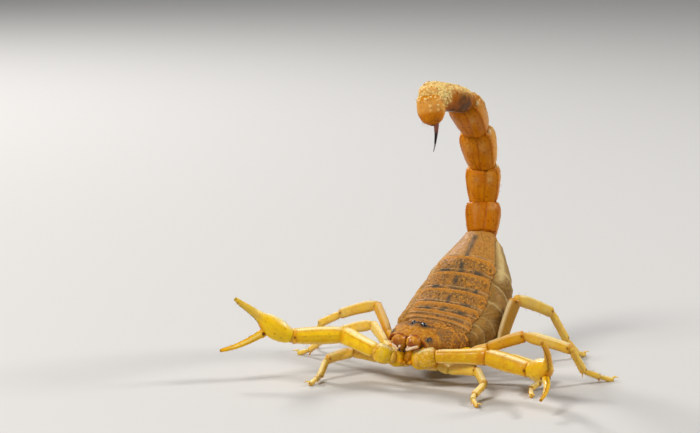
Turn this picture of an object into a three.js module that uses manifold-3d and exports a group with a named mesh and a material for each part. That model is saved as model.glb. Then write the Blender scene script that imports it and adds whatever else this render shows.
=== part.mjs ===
// A thick-tailed scorpion, a female heavy with young, standing with her tail arched over her back.
// Millimetres: her head faces -Y, her left side is +X and the floor she stands on is z = 0.
// Bearings are degrees from straight ahead round to her left, and rises are degrees above level.

import * as THREE from "three";
import { mergeVertices } from "three/addons/utils/BufferGeometryUtils.js";
import Module from "manifold-3d";

const wasm = await Module();
wasm.setup();

// ---------------------------------------------------------------- driving dimensions

const longestMitre = 1.15; // how far a section may stretch where two limb pieces meet at an angle
const jointGap = 0.2; // clear space between two hard pieces that meet
const carapaceLength = 7.6;
const frontMarginY = -4.1; // front edge of the carapace
const eyeShare = 0.42; // share of the carapace's length in front of the median eyes
const eyeLineY = frontMarginY + eyeShare * carapaceLength;
const floorReach = 80; // size of the block that trims the soles level

// The body from the front margin of the head to the tail base, one station at each plate's edge:
// y and z of the side line, half width, rise to the back, drop to the belly, pitch of the section
// and roll of the head to her left.
const stations = [
  { x: 0, y: frontMarginY, z: 6.0, half: 2.9, rise: 0.75, drop: 0.5, pitch: 0, roll: 6 },
  { x: 0, y: eyeLineY, z: 5.7, half: 4.0, rise: 2.0, drop: 2.4, pitch: 2, roll: 6 },
  { x: 0, y: frontMarginY + carapaceLength, z: 5.35, half: 4.9, rise: 2.05, drop: 3.3, pitch: 6, roll: 5 },
  { x: -0.2, y: 4.6, z: 5.7, half: 6.15, rise: 1.9, drop: 3.6, pitch: 12, roll: 4 },
  { x: -0.2, y: 5.6, z: 6.05, half: 6.45, rise: 2.3, drop: 3.9, pitch: 16, roll: 3 },
  { x: 0.15, y: 7.0, z: 6.5, half: 6.85, rise: 2.85, drop: 4.15, pitch: 21, roll: 2 },
  { x: 0.15, y: 9.5, z: 7.75, half: 6.95, rise: 3.5, drop: 4.45, pitch: 29, roll: 1 },
  { x: 0.05, y: 11.8, z: 9.65, half: 6.15, rise: 3.9, drop: 4.6, pitch: 33.5, roll: 0 },
  { x: 0.05, y: 13.7, z: 11.65, half: 5.75, rise: 3.85, drop: 4.4, pitch: 36, roll: 0 },
  { x: -0.6, y: 17.4, z: 16.0, half: 2.8, rise: 2.1, drop: 2.3, pitch: 44, roll: 0 },
];
const headStation = 0;
const backStation = 2; // rear edge of the carapace, front edge of the first tergite
const tergiteCount = 7;
const firstSternite = 3;
const bodyFacets = 10; // facets round each half of the body

// The tail's five rings and the sting, each with its length, width and height.
const tailBase = { x: -0.9, y: 17.8, z: 16.7 };
const tailRings = [
  { length: 5.1, width: 4.8, height: 4.2, bearing: 25, rise: 120 },
  { length: 5.6, width: 4.7, height: 4.2, bearing: 22, rise: 79 },
  { length: 6.4, width: 4.75, height: 4.3, bearing: 12, rise: 57 },
  { length: 7.2, width: 4.6, height: 4.1, bearing: 12, rise: 38 },
  { length: 8.3, width: 4.3, height: 3.7, bearing: -5, rise: 12 },
];
const tailFacets = 12;
const vesicle = { length: 4.1, width: 3.65, height: 3.65, bearing: 60, rise: -76 };
const aculeus = { length: 3.9, thickness: 1.1, tip: 0.5, bend: 46, bearing: 10, rise: -76, aside: 0.55 };

// Lengths of the six pieces of each leg: trochanter, femur, patella, tibia, basitarsus, telotarsus.
const legLengths = [
  [1.6, 4.0, 4.5, 2.5, 1.8, 1.6],
  [2.0, 4.6, 5.7, 3.7, 2.7, 2.0],
  [2.4, 5.3, 6.9, 4.4, 3.2, 2.2],
  [2.6, 6.2, 7.5, 5.4, 3.9, 2.4],
];
// Where the coxae of legs I to IV end, on her left side.
const coxaEnds = [
  [3.8, -2.4, 3.0],
  [5.0, 0.3, 3.4],
  [5.7, 3.1, 3.8],
  [5.8, 6.0, 3.9],
];
const ankleHeight = 0.85; // end of the basitarsus
const soleHeight = 0.15; // middle of the tip of the telotarsus
// Full height and width of each leg piece at its thickest, and the growth from leg I to leg IV.
const legThickness = [
  { height: 1.5, width: 1.35 },
  { height: 1.55, width: 1.1 },
  { height: 1.55, width: 1.1 },
  { height: 1.1, width: 0.92 },
  { height: 0.8, width: 0.72 },
  { height: 0.66, width: 0.62 },
];
const legGrowth = 0.05;
const legFacets = 8;
const soleCut = 5; // the telotarsus, the piece that stands on the floor

// How each leg is held: six bearings to her own side, and the rises of the first four pieces.
const stances = {
  left_1: { bearings: [92, 95, 42, -4, 23, 53], rises: [-20, 5, -12, -20] },
  left_2: { bearings: [108, 137, 109, 11, 7, 32], rises: [-4, 2, -14, -17] },
  left_3: { bearings: [108, 105, 92, 172, 163, 143], rises: [19, 21, -9, -50] },
  left_4: { bearings: [134, 144, 164, 169, 176, 180], rises: [15, 69, -22, -52] },
  right_1: { bearings: [92, 91, 23, 11, -20, 10], rises: [-8, 6, -6, -57] },
  right_2: { bearings: [125, 124, 98, 92, 91, 92], rises: [17, 23, -16, -29] },
  right_3: { bearings: [113, 127, 99, 101, 119, 131], rises: [28, 35, -18, -26] },
  right_4: { bearings: [150, 172, 160, 158, 158, 160], rises: [10, 39, -11, -50] },
};

// Pedipalps: the arm from the coxa to the fingers.
const armSizes = {
  coxa: { width: 2.5, height: 3.0 },
  trochanter: { length: 2.2, width: 2.5, height: 2.7 },
  femur: { length: 7.0, width: 2.05, height: 1.95 },
  patella: { length: 7.3, width: 2.4, height: 2.3 },
  hand: { length: 4.7, width: 2.8, height: 3.05 },
  fixedFinger: { length: 6.4, thickness: 1.6, tip: 0.55 },
  movableFinger: { length: 6.9, thickness: 1.3, tip: 0.5 },
};
const armRoot = { x: 2.0, y: -4.6, z: 3.9 }; // where the coxa meets the trochanter
const coxaRoot = { x: 1.6, y: -1.9, z: 3.7 };
const shoulderLap = 0.6; // how far the trochanter reaches back into the end of the coxa
const armFacets = 10;
// The bearing and rise of each piece of each arm, and for a finger how far it bends upwards.
const arms = {
  left: {
    trochanter: [109, 14],
    femur: [111, 2],
    patella: [78, -5],
    hand: [57, 15],
    fixedFinger: [22, 40, -14],
    movableFinger: [23, -13, -8],
  },
  right: {
    trochanter: [63, 16],
    femur: [110, 9],
    patella: [42, 2],
    hand: [44, 32],
    fixedFinger: [22, 34, -6],
    movableFinger: [37, -19, 23],
  },
};
// Where each finger leaves the hand: above or below its middle, and back from its end.
const fingerRoots = { fixedFinger: { lift: 0.35, back: 0.9 }, movableFinger: { lift: -1.1, back: 1.2 } };

// The face: eyes on the top and front corners of the carapace, chelicerae under its front margin.
const medianEye = { x: 0.76, y: -1.0, radius: 0.42, lift: 0.05 };
const tubercle = { y: -0.95, length: 2.2, width: 1.7, lift: 0.35 };
const lateralEye = { x: 2.65, y: -3.45, radius: 0.2, count: 3, pitch: 0.26 };
const eyeGap = 0.05;
const chelicera = { x: 1.0, y: -3.2, z: 6.3, length: 2.0, width: 1.8, height: 1.85, turn: 2, rise: -16 };
const cheliceralFinger = { length: 2.1, thickness: 0.62, tip: 0.5, turn: -62, rise: -20, bend: -16 };
const cheliceralThumb = { length: 1.0, thickness: 0.6, tip: 0.5, turn: -22, rise: -40, bend: -20 };

// Combs under the belly.
const comb = {
  length: 6.0,
  width: 1.3,
  thickness: 0.6,
  teeth: 24,
  toothLength: 0.75,
  sweep: 35,
  tilt: 16,
};
const combRoot = { x: 0.5, y: 5.9, z: 1.15 };

const sclerite = (colour) =>
  new THREE.MeshStandardMaterial({ color: colour, roughness: 0.45, metalness: 0 });
const colours = {
  back: sclerite(0xa8713a),
  belly: sclerite(0xc9a264),
  tail: sclerite(0xc9822e),
  limb: sclerite(0xd9a630),
  sting: sclerite(0x3a1710),
  eye: new THREE.MeshStandardMaterial({ color: 0x0a0808, roughness: 0.12, metalness: 0 }),
  face: sclerite(0xc2702a),
};

// ---------------------------------------------------------------- solids

const radians = THREE.MathUtils.degToRad;

// The unit vector at a bearing and a rise.
function heading(bearing, rise) {
  const b = radians(bearing);
  const r = radians(rise);
  return new THREE.Vector3(Math.sin(b) * Math.cos(r), -Math.cos(b) * Math.cos(r), Math.sin(r));
}

// The heading a quarter turn above another one: the back of a limb held at that bearing and rise.
const backOf = (bearing, rise) => heading(bearing, rise + 90);

function asSolid(geometry) {
  const bare = new THREE.BufferGeometry().setAttribute("position", geometry.getAttribute("position"));
  bare.setIndex(geometry.index);
  const merged = mergeVertices(bare, 1e-4);
  const vertProperties = new Float32Array(merged.attributes.position.array);
  const triVerts = new Uint32Array(merged.index.array);
  return new wasm.Manifold(new wasm.Mesh({ numProp: 3, vertProperties, triVerts }));
}

// A closed skin over a row of rings that all have the same number of points.
function skin(rings) {
  const count = rings[0].length;
  const points = rings.flat();
  const faces = [];
  for (let r = 0; r + 1 < rings.length; r++) {
    for (let i = 0; i < count; i++) {
      const j = (i + 1) % count;
      const a = r * count + i;
      const b = r * count + j;
      faces.push([a, b, b + count], [a, b + count, a + count]);
    }
  }
  for (const [r, turn] of [[0, -1], [rings.length - 1, 1]]) {
    const middle = rings[r].reduce((sum, p) => sum.clone().add(p)).divideScalar(count);
    points.push(middle);
    for (let i = 0; i < count; i++) {
      const a = r * count + i;
      const b = r * count + ((i + 1) % count);
      faces.push(turn > 0 ? [a, b, points.length - 1] : [b, a, points.length - 1]);
    }
  }
  const volume = faces.reduce(
    (sum, [a, b, c]) => sum + points[a].dot(points[b].clone().cross(points[c])),
    0,
  );
  const index = faces.flatMap(([a, b, c]) => (volume < 0 ? [a, c, b] : [a, b, c]));
  const geometry = new THREE.BufferGeometry().setFromPoints(points).setIndex(index);
  return asSolid(geometry);
}

// A ring of points: an ellipse that grows squarer as squareness falls below 1.
function ring(centre, side, up, halfWidth, halfHeight, facets, squareness = 1) {
  const bulge = (v) => Math.sign(v) * Math.abs(v) ** squareness;
  const points = [];
  for (let i = 0; i < facets; i++) {
    const angle = (2 * Math.PI * (i + 0.5)) / facets;
    points.push(
      centre
        .clone()
        .addScaledVector(side, halfWidth * bulge(Math.cos(angle)))
        .addScaledVector(up, halfHeight * bulge(Math.sin(angle))),
    );
  }
  return points;
}

// The rings of one stretch of a limb. A limb is a list of pieces, each with its start, heading,
// back, size and profile, and a profile lists how far along the piece each ring is, and the shares
// of the full width and height there. Rings where two pieces meet lie in the plane halfway between
// them, and the two ends of the stretch stop half a gap short of it.
function limbRings(limb, first, last, facets, swell, squareness) {
  const rings = [];
  for (let i = first; i <= last; i++) {
    const piece = limb[i];
    piece.profile.forEach(([along, wide, high], row) => {
      const starts = row === 0;
      const ends = row === piece.profile.length - 1;
      if (ends && i < last) return;
      const neighbour = starts ? limb[i - 1] : ends ? limb[i + 1] : undefined;
      const forward = piece.forward.clone();
      const up = piece.up.clone();
      let stretch = 1;
      if (neighbour) {
        forward.add(neighbour.forward).normalize();
        up.add(neighbour.up);
        stretch = Math.min(1 / forward.dot(piece.forward), longestMitre);
      }
      const side = new THREE.Vector3().crossVectors(forward, up).normalize();
      up.crossVectors(side, forward);
      const outermost = (starts && i === first) || (ends && i === last);
      const inset = outermost ? (starts ? 1 : -1) * (jointGap / 2 - swell) : 0;
      const centre = piece.start.clone().addScaledVector(piece.forward, along * piece.size.length);
      centre.addScaledVector(forward, inset);
      const halfWidth = (piece.size.width * wide) / 2 + swell;
      const halfHeight = ((piece.size.height * high) / 2) * stretch + swell;
      rings.push(ring(centre, side, up, halfWidth, halfHeight, facets, squareness));
    });
  }
  return rings;
}

function limbSolid(limb, first, last, facets, swell = 0, squareness = 0.85) {
  return skin(limbRings(limb, first, last, facets, swell, squareness));
}

// A single piece that stands alone.
function knob(start, forward, up, size, profile, facets, swell = 0) {
  return limbSolid([{ start, forward, up, size, profile }], 0, 0, facets, swell);
}

// A tapering horn or finger that bends towards its back as it goes.
function horn(start, bearing, rise, size, bend, stages, facets, swell = 0) {
  const rings = [];
  const centre = start.clone();
  for (let i = 0; i <= stages; i++) {
    const along = i / stages;
    const lean = rise + bend * (along - 0.5);
    const forward = heading(bearing, lean);
    if (i > 0) centre.addScaledVector(forward, size.length / stages);
    const half = THREE.MathUtils.lerp(size.thickness, size.tip, along ** 1.3) / 2 + swell;
    const side = new THREE.Vector3().crossVectors(forward, backOf(bearing, lean)).normalize();
    rings.push(ring(centre, side, backOf(bearing, lean), half, half, facets));
  }
  return skin(rings);
}

const join = (solids) => solids.reduce((a, b) => a.add(b));

function ball(centre, radius, swell = 0, facets = 8) {
  const geometry = new THREE.SphereGeometry(radius + swell, facets, facets / 2 + 1);
  geometry.translate(centre.x, centre.y, centre.z);
  return asSolid(geometry);
}

function floorBlock() {
  const block = new THREE.BoxGeometry(floorReach, floorReach, 10);
  block.translate(0, 0, -5);
  return asSolid(block);
}

// ---------------------------------------------------------------- body

// The body's section at a station number, smoothly between whole stations.
function sectionAt(number) {
  const last = stations.length - 1;
  const i = Math.min(Math.floor(number), last - 1);
  const t = number - i;
  const pick = (n) => stations[THREE.MathUtils.clamp(n, 0, last)];
  const section = {};
  for (const name of Object.keys(stations[0])) {
    const [a, b, c, d] = [i - 1, i, i + 1, i + 2].map((n) => pick(n)[name]);
    const bend = (2 * b - 2 * c + (c - a) / 2 + (d - b) / 2) * t ** 3;
    const curve = (3 * c - 3 * b - (c - a) - (d - b) / 2) * t ** 2;
    section[name] = b + ((c - a) / 2) * t + curve + bend;
  }
  return section;
}

// Half of the body's section as a ring: side 1 is the back and side -1 the belly.
function halfRing(section, side, swell, squareness) {
  const pitch = radians(section.pitch);
  const roll = radians(section.roll);
  const up = new THREE.Vector3(0, -Math.sin(pitch), Math.cos(pitch));
  const across = new THREE.Vector3(Math.cos(roll), 0, -Math.sin(roll));
  const centre = new THREE.Vector3(section.x, section.y, section.z);
  const height = (side > 0 ? section.rise : section.drop) + swell - jointGap / 2;
  const points = [];
  for (let i = 0; i <= bodyFacets; i++) {
    const angle = (Math.PI * i) / bodyFacets;
    const x = (section.half + swell) * Math.sign(Math.cos(angle)) * Math.abs(Math.cos(angle)) ** squareness;
    const lift = height * Math.sin(angle) ** squareness + jointGap / 2 - swell;
    points.push(centre.clone().addScaledVector(across, x).addScaledVector(up, side * lift));
  }
  return points;
}

// A plate with the flesh behind it, between two station numbers.
function bodyPlate(from, to, side, swell, squareness = 0.85, steps = 2) {
  const rings = [];
  for (let i = 0; i <= steps; i++) {
    const section = sectionAt(THREE.MathUtils.lerp(from, to, i / steps));
    const end = i === 0 ? 1 : i === steps ? -1 : 0;
    const inset = end * (jointGap / 2 - swell);
    const pitch = radians(section.pitch);
    section.y += inset * Math.cos(pitch);
    section.z += inset * Math.sin(pitch);
    rings.push(halfRing(section, side, swell, squareness));
  }
  return skin(rings);
}

const point = ({ x, y, z }, sign = 1) => new THREE.Vector3(sign * x, y, z);

// Height of the carapace's back above the floor at a place on it.
function carapaceTop(x, y) {
  const reach = (y - frontMarginY) / carapaceLength;
  const number = reach < eyeShare ? reach / eyeShare : 1 + (reach - eyeShare) / (1 - eyeShare);
  const section = sectionAt(number);
  const across = Math.min(Math.abs(x) / section.half, 1);
  const lift = section.rise * (1 - across ** (2 / 0.85)) ** (0.85 / 2);
  return section.z + lift - x * Math.tan(radians(section.roll));
}

function eyePlace(sign) {
  const x = sign * medianEye.x;
  return new THREE.Vector3(x, medianEye.y, carapaceTop(x, medianEye.y) + medianEye.lift);
}

function medianEyeSolid(sign, swell) {
  return ball(eyePlace(sign), medianEye.radius, swell);
}

function lateralEyesSolid(sign, swell) {
  const row = [];
  for (let i = 0; i < lateralEye.count; i++) {
    const y = lateralEye.y + i * lateralEye.pitch;
    const x = sign * (lateralEye.x + i * lateralEye.pitch * 0.35);
    row.push(ball(new THREE.Vector3(x, y, carapaceTop(x, y) - 0.04), lateralEye.radius, swell, 6));
  }
  return join(row);
}

function tubercleSolid(swell) {
  const base = new THREE.Vector3(0, tubercle.y - tubercle.length / 2, carapaceTop(0, tubercle.y) - 0.45);
  const size = { length: tubercle.length, width: tubercle.width, height: 2 * (0.45 + tubercle.lift) };
  const profile = [
    [0, 0.5, 0.55],
    [0.3, 0.95, 0.95],
    [0.65, 1, 1],
    [1, 0.55, 0.7],
  ];
  return knob(base, new THREE.Vector3(0, 1, 0), new THREE.Vector3(0, 0, 1), size, profile, 8, swell);
}

function carapaceSolid(swell) {
  const shell = bodyPlate(headStation, backStation, 1, swell, 0.8, 5).add(tubercleSolid(swell));
  if (swell > 0) return shell;
  const eyes = [-1, 1].flatMap((sign) => [medianEyeSolid(sign, eyeGap), lateralEyesSolid(sign, eyeGap)]);
  return shell.subtract(join(eyes));
}

// The floor of the head: the sternum with the coxae of all eight legs fused to it.
function coxosternumSolid(swell) {
  const under = bodyPlate(0.35, backStation, -1, swell, 0.9, 3);
  const coxae = [];
  for (const sign of [-1, 1]) {
    coxaEnds.forEach(([x, y, z], i) => {
      const inner = new THREE.Vector3(sign * 0.9, -2.2 + 1.35 * i, 2.95);
      const outer = new THREE.Vector3(sign * x, y, z);
      const forward = outer.clone().sub(inner).normalize();
      const side = new THREE.Vector3().crossVectors(forward, new THREE.Vector3(0, 0, 1)).normalize();
      const up = new THREE.Vector3().crossVectors(side, forward);
      const size = { length: outer.distanceTo(inner), width: 1.55, height: 1.7 };
      const profile = [
        [0, 0.8, 0.9],
        [0.5, 1, 1.05],
        [1, 0.95, 0.95],
      ];
      coxae.push(knob(inner, forward, up, size, profile, legFacets, swell));
    });
  }
  return join([under, ...coxae]);
}

// One comb: a flat curved blade with a row of teeth along its rear edge, lying under the belly.
function combSolid(sign, swell) {
  const { length, width, teeth, toothLength } = comb;
  const outline = new THREE.Shape();
  const pitch = length / teeth;
  const frontEdge = (t) => width * (0.55 + 0.45 * Math.sin(Math.PI * t));
  outline.moveTo(0, 0);
  for (let i = 0; i < teeth; i++) {
    const long = toothLength * (0.55 + 0.45 * Math.sin((Math.PI * (i + 1)) / (teeth + 1)));
    outline.lineTo(pitch * (i + 0.2), -long);
    outline.lineTo(pitch * (i + 0.75), -long);
    outline.lineTo(pitch * (i + 1), 0);
  }
  const steps = 6;
  for (let i = steps; i >= 0; i--) outline.lineTo((length * i) / steps, frontEdge(i / steps));
  const depth = comb.thickness + 2 * swell;
  const blade = new THREE.ExtrudeGeometry(outline, { depth, bevelEnabled: false });
  blade.translate(0, 0, -swell);
  const turn = new THREE.Matrix4().makeRotationZ(radians(-comb.sweep));
  const tilt = new THREE.Matrix4().makeRotationX(radians(-comb.tilt));
  blade.applyMatrix4(turn.premultiply(tilt));
  blade.scale(1, -1, 1);
  blade.translate(combRoot.x, combRoot.y, combRoot.z);
  if (sign < 0) blade.scale(-1, 1, 1);
  // Each mirroring turns the faces round, so an even number of them leaves the faces as they were.
  if (sign > 0) blade.index ? blade.index.array.reverse() : flipFaces(blade);
  return asSolid(blade);
}

function flipFaces(geometry) {
  const { array } = geometry.getAttribute("position");
  for (let i = 0; i < array.length; i += 9) {
    for (let k = 0; k < 3; k++) [array[i + k], array[i + 6 + k]] = [array[i + 6 + k], array[i + k]];
  }
}

// ---------------------------------------------------------------- face

// Where the fingers of a chelicera leave its palm, and the palm's own forward direction.
function cheliceraFrame(sign) {
  const forward = heading(sign * chelicera.turn, chelicera.rise);
  const up = backOf(sign * chelicera.turn, chelicera.rise);
  const start = point(chelicera, sign);
  const front = start.clone().addScaledVector(forward, chelicera.length);
  return { start, forward, up, front };
}

function cheliceraSolid(sign, swell) {
  const { start, forward, up, front } = cheliceraFrame(sign);
  const profile = [
    [0, 0.75, 0.8],
    [0.35, 1, 1],
    [0.75, 0.98, 0.95],
    [1, 0.6, 0.6],
  ];
  const palm = knob(start, forward, up, chelicera, profile, armFacets, swell);
  const root = front.addScaledVector(forward, -0.45).addScaledVector(up, -0.15);
  root.x -= sign * 0.3;
  const { turn, rise, bend } = cheliceralThumb;
  return palm.add(horn(root, sign * turn, rise, cheliceralThumb, bend, 3, 6, swell));
}

function cheliceralFingerSolid(sign, swell) {
  const { forward, up, front } = cheliceraFrame(sign);
  const root = front.addScaledVector(forward, -0.55).addScaledVector(up, -0.3);
  root.x += sign * 0.82;
  const { turn, rise, bend } = cheliceralFinger;
  return horn(root, sign * turn, rise, cheliceralFinger, bend, 3, 6, swell);
}

// ---------------------------------------------------------------- limbs

// A leg as a list of pieces, from the end of its coxa to the tip of its foot.
function legPieces(name, number, sign) {
  const { bearings, rises } = stances[name];
  const [x, y, z] = coxaEnds[number];
  const growth = 1 + legGrowth * (number - 1);
  let start = new THREE.Vector3(sign * x, y, z);
  return legLengths[number].map((length, i) => {
    const target = i === 4 ? ankleHeight : soleHeight;
    const drop = THREE.MathUtils.radToDeg(Math.asin((target - start.z) / length));
    const rise = i < rises.length ? rises[i] : drop;
    const forward = heading(sign * bearings[i], rise);
    const up = backOf(sign * bearings[i], rise);
    const { width, height } = legThickness[i];
    const size = { length, width: width * growth, height: height * growth };
    const piece = { start, forward, up, size, profile: legProfiles[i] };
    start = start.clone().addScaledVector(forward, length);
    return piece;
  });
}

const legProfiles = [
  [[0, 0.8, 0.8], [0.4, 1, 1], [1, 0.95, 0.95]],
  [[0, 0.8, 0.75], [0.2, 0.95, 0.9], [0.75, 1, 1], [1, 0.85, 0.8]],
  [[0, 0.8, 0.75], [0.2, 1, 1], [0.7, 0.9, 0.88], [1, 0.85, 0.75]],
  [[0, 0.9, 0.9], [0.25, 1, 1], [1, 0.85, 0.85]],
  [[0, 0.95, 0.95], [1, 1, 1]],
  [[0, 0.9, 0.9], [0.5, 1, 1], [1, 0.9, 1.15]],
];

// The leg pieces from one number up to another as one solid, its sole trimmed level.
function legSolid(name, number, sign, first, last, swell) {
  const leg = limbSolid(legPieces(name, number, sign), first, last, legFacets, swell);
  return last === soleCut && swell === 0 ? leg.subtract(floorBlock()) : leg;
}

const armProfiles = {
  coxa: [[0, 0.85, 0.85], [0.4, 1, 1], [0.8, 1, 0.95], [1, 0.75, 0.7]],
  trochanter: [[0, 0.7, 0.75], [0.45, 1, 1], [1, 0.85, 0.85]],
  femur: [[0, 0.8, 0.8], [0.15, 0.95, 0.95], [0.88, 1.1, 1.15], [1, 0.95, 1]],
  patella: [[0, 0.8, 0.85], [0.16, 1, 1], [0.5, 1.04, 1.04], [0.88, 0.93, 0.9], [1, 0.72, 0.74]],
  hand: [[0, 0.6, 0.6], [0.14, 0.84, 0.84], [0.5, 1, 1], [0.78, 0.88, 0.88], [1, 0.56, 0.56]],
};

// An arm as a list of pieces, from its coxa to its hand.
function armPieces(name) {
  const sign = name === "left" ? 1 : -1;
  const joint = point(armRoot, sign);
  const inner = point(coxaRoot, sign);
  const forward = joint.clone().sub(inner).normalize();
  const size = { ...armSizes.coxa, length: joint.distanceTo(inner) };
  const up = new THREE.Vector3(0, 0, 1);
  const pieces = [{ start: inner, forward, up, size, profile: armProfiles.coxa }];
  for (const piece of ["trochanter", "femur", "patella", "hand"]) {
    const [bearing, rise] = arms[name][piece];
    const along = heading(sign * bearing, rise);
    pieces.push({
      start: joint.clone(),
      forward: along,
      up: backOf(sign * bearing, rise),
      size: armSizes[piece],
      profile: armProfiles[piece],
    });
    joint.addScaledVector(along, armSizes[piece].length);
  }
  return pieces;
}

const armSolid = (name, first, last, swell) => limbSolid(armPieces(name), first, last, armFacets, swell);

// The coxa and the trochanter, grown together as one knee-shaped solid.
function armBase(name, swell) {
  const [coxa, trochanter, femur] = armPieces(name);
  const start = trochanter.start.clone().addScaledVector(trochanter.forward, -shoulderLap);
  const size = { ...trochanter.size, length: trochanter.size.length + shoulderLap };
  const shoulder = limbSolid([{ ...trochanter, start, size }, femur], 0, 0, armFacets, swell);
  return limbSolid([coxa], 0, 0, armFacets, swell).add(shoulder);
}

function fingerSolid(name, finger, swell) {
  const sign = name === "left" ? 1 : -1;
  const [bearing, rise, bend] = arms[name][finger];
  const { lift, back } = fingerRoots[finger];
  const hand = armPieces(name).at(-1);
  const root = hand.start.clone().addScaledVector(hand.forward, hand.size.length - back);
  root.addScaledVector(hand.up, lift);
  return horn(root, sign * bearing, rise, armSizes[finger], bend, 4, legFacets, swell);
}

function chelaSolid(name, swell) {
  return armSolid(name, 4, 4, swell).add(fingerSolid(name, "fixedFinger", swell));
}

// ---------------------------------------------------------------- tail

const tailProfile = [[0, 0.8, 0.8], [0.17, 0.94, 0.95], [0.5, 0.97, 1], [0.9, 1, 1], [1, 0.86, 0.86]];
const vesicleProfile = [
  [0, 0.45, 0.5],
  [0.15, 0.8, 0.8],
  [0.4, 1, 1],
  [0.65, 0.9, 0.92],
  [0.88, 0.6, 0.62],
  [1, 0.42, 0.42],
];

// The tail as a list of pieces, its five rings and then the vesicle of the sting. The back of a
// tail carried over the body faces forwards and down.
function tailPieces() {
  const joint = point(tailBase);
  return [...tailRings, vesicle].map((size, i) => {
    const forward = heading(size.bearing, size.rise);
    const up = backOf(size.bearing, size.rise).negate();
    const profile = i < tailRings.length ? tailProfile : vesicleProfile;
    const start = joint.clone();
    joint.addScaledVector(forward, size.length);
    return { start, forward, up, size, profile };
  });
}

function ringSolid(i, swell) {
  return limbSolid(tailPieces().slice(0, tailRings.length), i, i, tailFacets, swell, 0.75);
}

function vesicleSolid(swell) {
  return limbSolid(tailPieces().slice(-1), 0, 0, tailFacets, swell, 1);
}

function aculeusSolid(swell) {
  const bulb = tailPieces().at(-1);
  const start = bulb.start.clone().addScaledVector(bulb.forward, bulb.size.length - 0.2);
  start.x += aculeus.aside;
  return horn(start, aculeus.bearing, aculeus.rise, aculeus, aculeus.bend, 5, legFacets, swell);
}

// ---------------------------------------------------------------- assembly

// Each named piece with its colour, the recipe for its solid, and the pieces it leaves room for.
const pieces = new Map();
const declare = (name, colour, solid, yieldsTo = []) => pieces.set(name, { colour, solid, yieldsTo });

// The belly leaves room for the coxae and for the hindmost legs beside it.
const underHips = ["coxosternum", "leg_left_4_femur", "leg_right_4_femur"];

declare("carapace", colours.face, carapaceSolid);
declare("coxosternum", colours.limb, coxosternumSolid, ["carapace"]);
for (let k = 1; k <= tergiteCount; k++) {
  const station = backStation + k - 1;
  declare(`tergite_${k}`, colours.back, (swell) => bodyPlate(station, station + 1, 1, swell));
}
declare(
  "genital_operculum",
  colours.belly,
  (swell) => bodyPlate(backStation, backStation + 2, -1, swell, 0.85, 2),
  underHips,
);
for (let k = firstSternite; k <= tergiteCount; k++) {
  const station = backStation + k - 1;
  declare(`sternite_${k}`, colours.belly, (swell) => bodyPlate(station, station + 1, -1, swell), underHips);
}
tailRings.forEach((_, i) => {
  const before = i === 0 ? ["tergite_7", "sternite_7"] : [`metasoma_${i}`];
  declare(`metasoma_${i + 1}`, colours.tail, (swell) => ringSolid(i, swell), before);
});
declare("telson_vesicle", colours.tail, vesicleSolid, ["metasoma_5"]);
declare("telson_aculeus", colours.sting, aculeusSolid, ["telson_vesicle"]);
for (const [name, sign] of [["left", 1], ["right", -1]]) {
  declare(`median_eye_${name}`, colours.eye, () => medianEyeSolid(sign, 0));
  declare(`lateral_eyes_${name}`, colours.eye, () => lateralEyesSolid(sign, 0));
  declare(`pedipalp_${name}_coxa`, colours.limb, (swell) => armBase(name, swell), [
    "carapace",
    "coxosternum",
  ]);
  declare(`chelicera_${name}`, colours.face, (swell) => cheliceraSolid(sign, swell), [
    "carapace",
    "coxosternum",
    `pedipalp_${name}_coxa`,
    `cheliceral_finger_${name}`,
  ]);
  declare(`cheliceral_finger_${name}`, colours.face, (swell) => cheliceralFingerSolid(sign, swell), [
    `pedipalp_${name}_coxa`,
  ]);
  declare(`pectine_${name}`, colours.belly, (swell) => combSolid(sign, swell));
  const arm = (piece) => `pedipalp_${name}_${piece}`;
  declare(arm("femur"), colours.limb, (swell) => armSolid(name, 2, 2, swell));
  declare(arm("patella"), colours.limb, (swell) => armSolid(name, 3, 3, swell));
  declare(arm("chela"), colours.limb, (swell) => chelaSolid(name, swell));
  declare(arm("movable_finger"), colours.limb, (swell) => fingerSolid(name, "movableFinger", swell), [
    arm("chela"),
  ]);
  for (let number = 0; number < legLengths.length; number++) {
    const stance = `${name}_${number + 1}`;
    const upper = `leg_${stance}_femur`;
    declare(upper, colours.limb, (swell) => legSolid(stance, number, sign, 0, 1, swell), ["coxosternum"]);
    declare(`leg_${stance}_shank`, colours.limb, (swell) => legSolid(stance, number, sign, 2, 5, swell));
  }
}

// The largest single body of a solid, without the slivers a cut can leave.
function largest(solid) {
  return solid.decompose().reduce((a, b) => (a.volume() > b.volume() ? a : b));
}

function meshOf(name, { colour, solid, yieldsTo }) {
  const room = (other) => pieces.get(other).solid(jointGap);
  const whole = yieldsTo.reduce((rest, other) => rest.subtract(room(other)), solid(0));
  const { vertProperties, triVerts, numProp } = largest(whole).getMesh();
  const geometry = new THREE.BufferGeometry();
  const points = new THREE.InterleavedBuffer(vertProperties, numProp);
  geometry.setAttribute("position", new THREE.InterleavedBufferAttribute(points, 3, 0));
  geometry.setIndex(new THREE.BufferAttribute(triVerts, 1));
  const flat = geometry.toNonIndexed();
  flat.computeVertexNormals();
  const mesh = new THREE.Mesh(flat, colour);
  mesh.name = name;
  return mesh;
}

const animal = new THREE.Group();
for (const [name, piece] of pieces) animal.add(meshOf(name, piece));

// The origin is under the middle of the animal, on the floor.
const box = new THREE.Box3().setFromObject(animal);
const middle = box.getCenter(new THREE.Vector3());
animal.position.set(-middle.x, -middle.y, -box.min.z);

const scorpion = new THREE.Group();
scorpion.add(animal);

export default scorpion;
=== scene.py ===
# A thick-tailed scorpion, heavy with young, standing with her pincers spread and her tail arched over
# her back. Sizes are millimetres in her own frame: head towards -Y, her left side towards +X, floor z = 0.
# Bearings are degrees from straight ahead round to her left, rises are degrees above level.

import math

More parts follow.
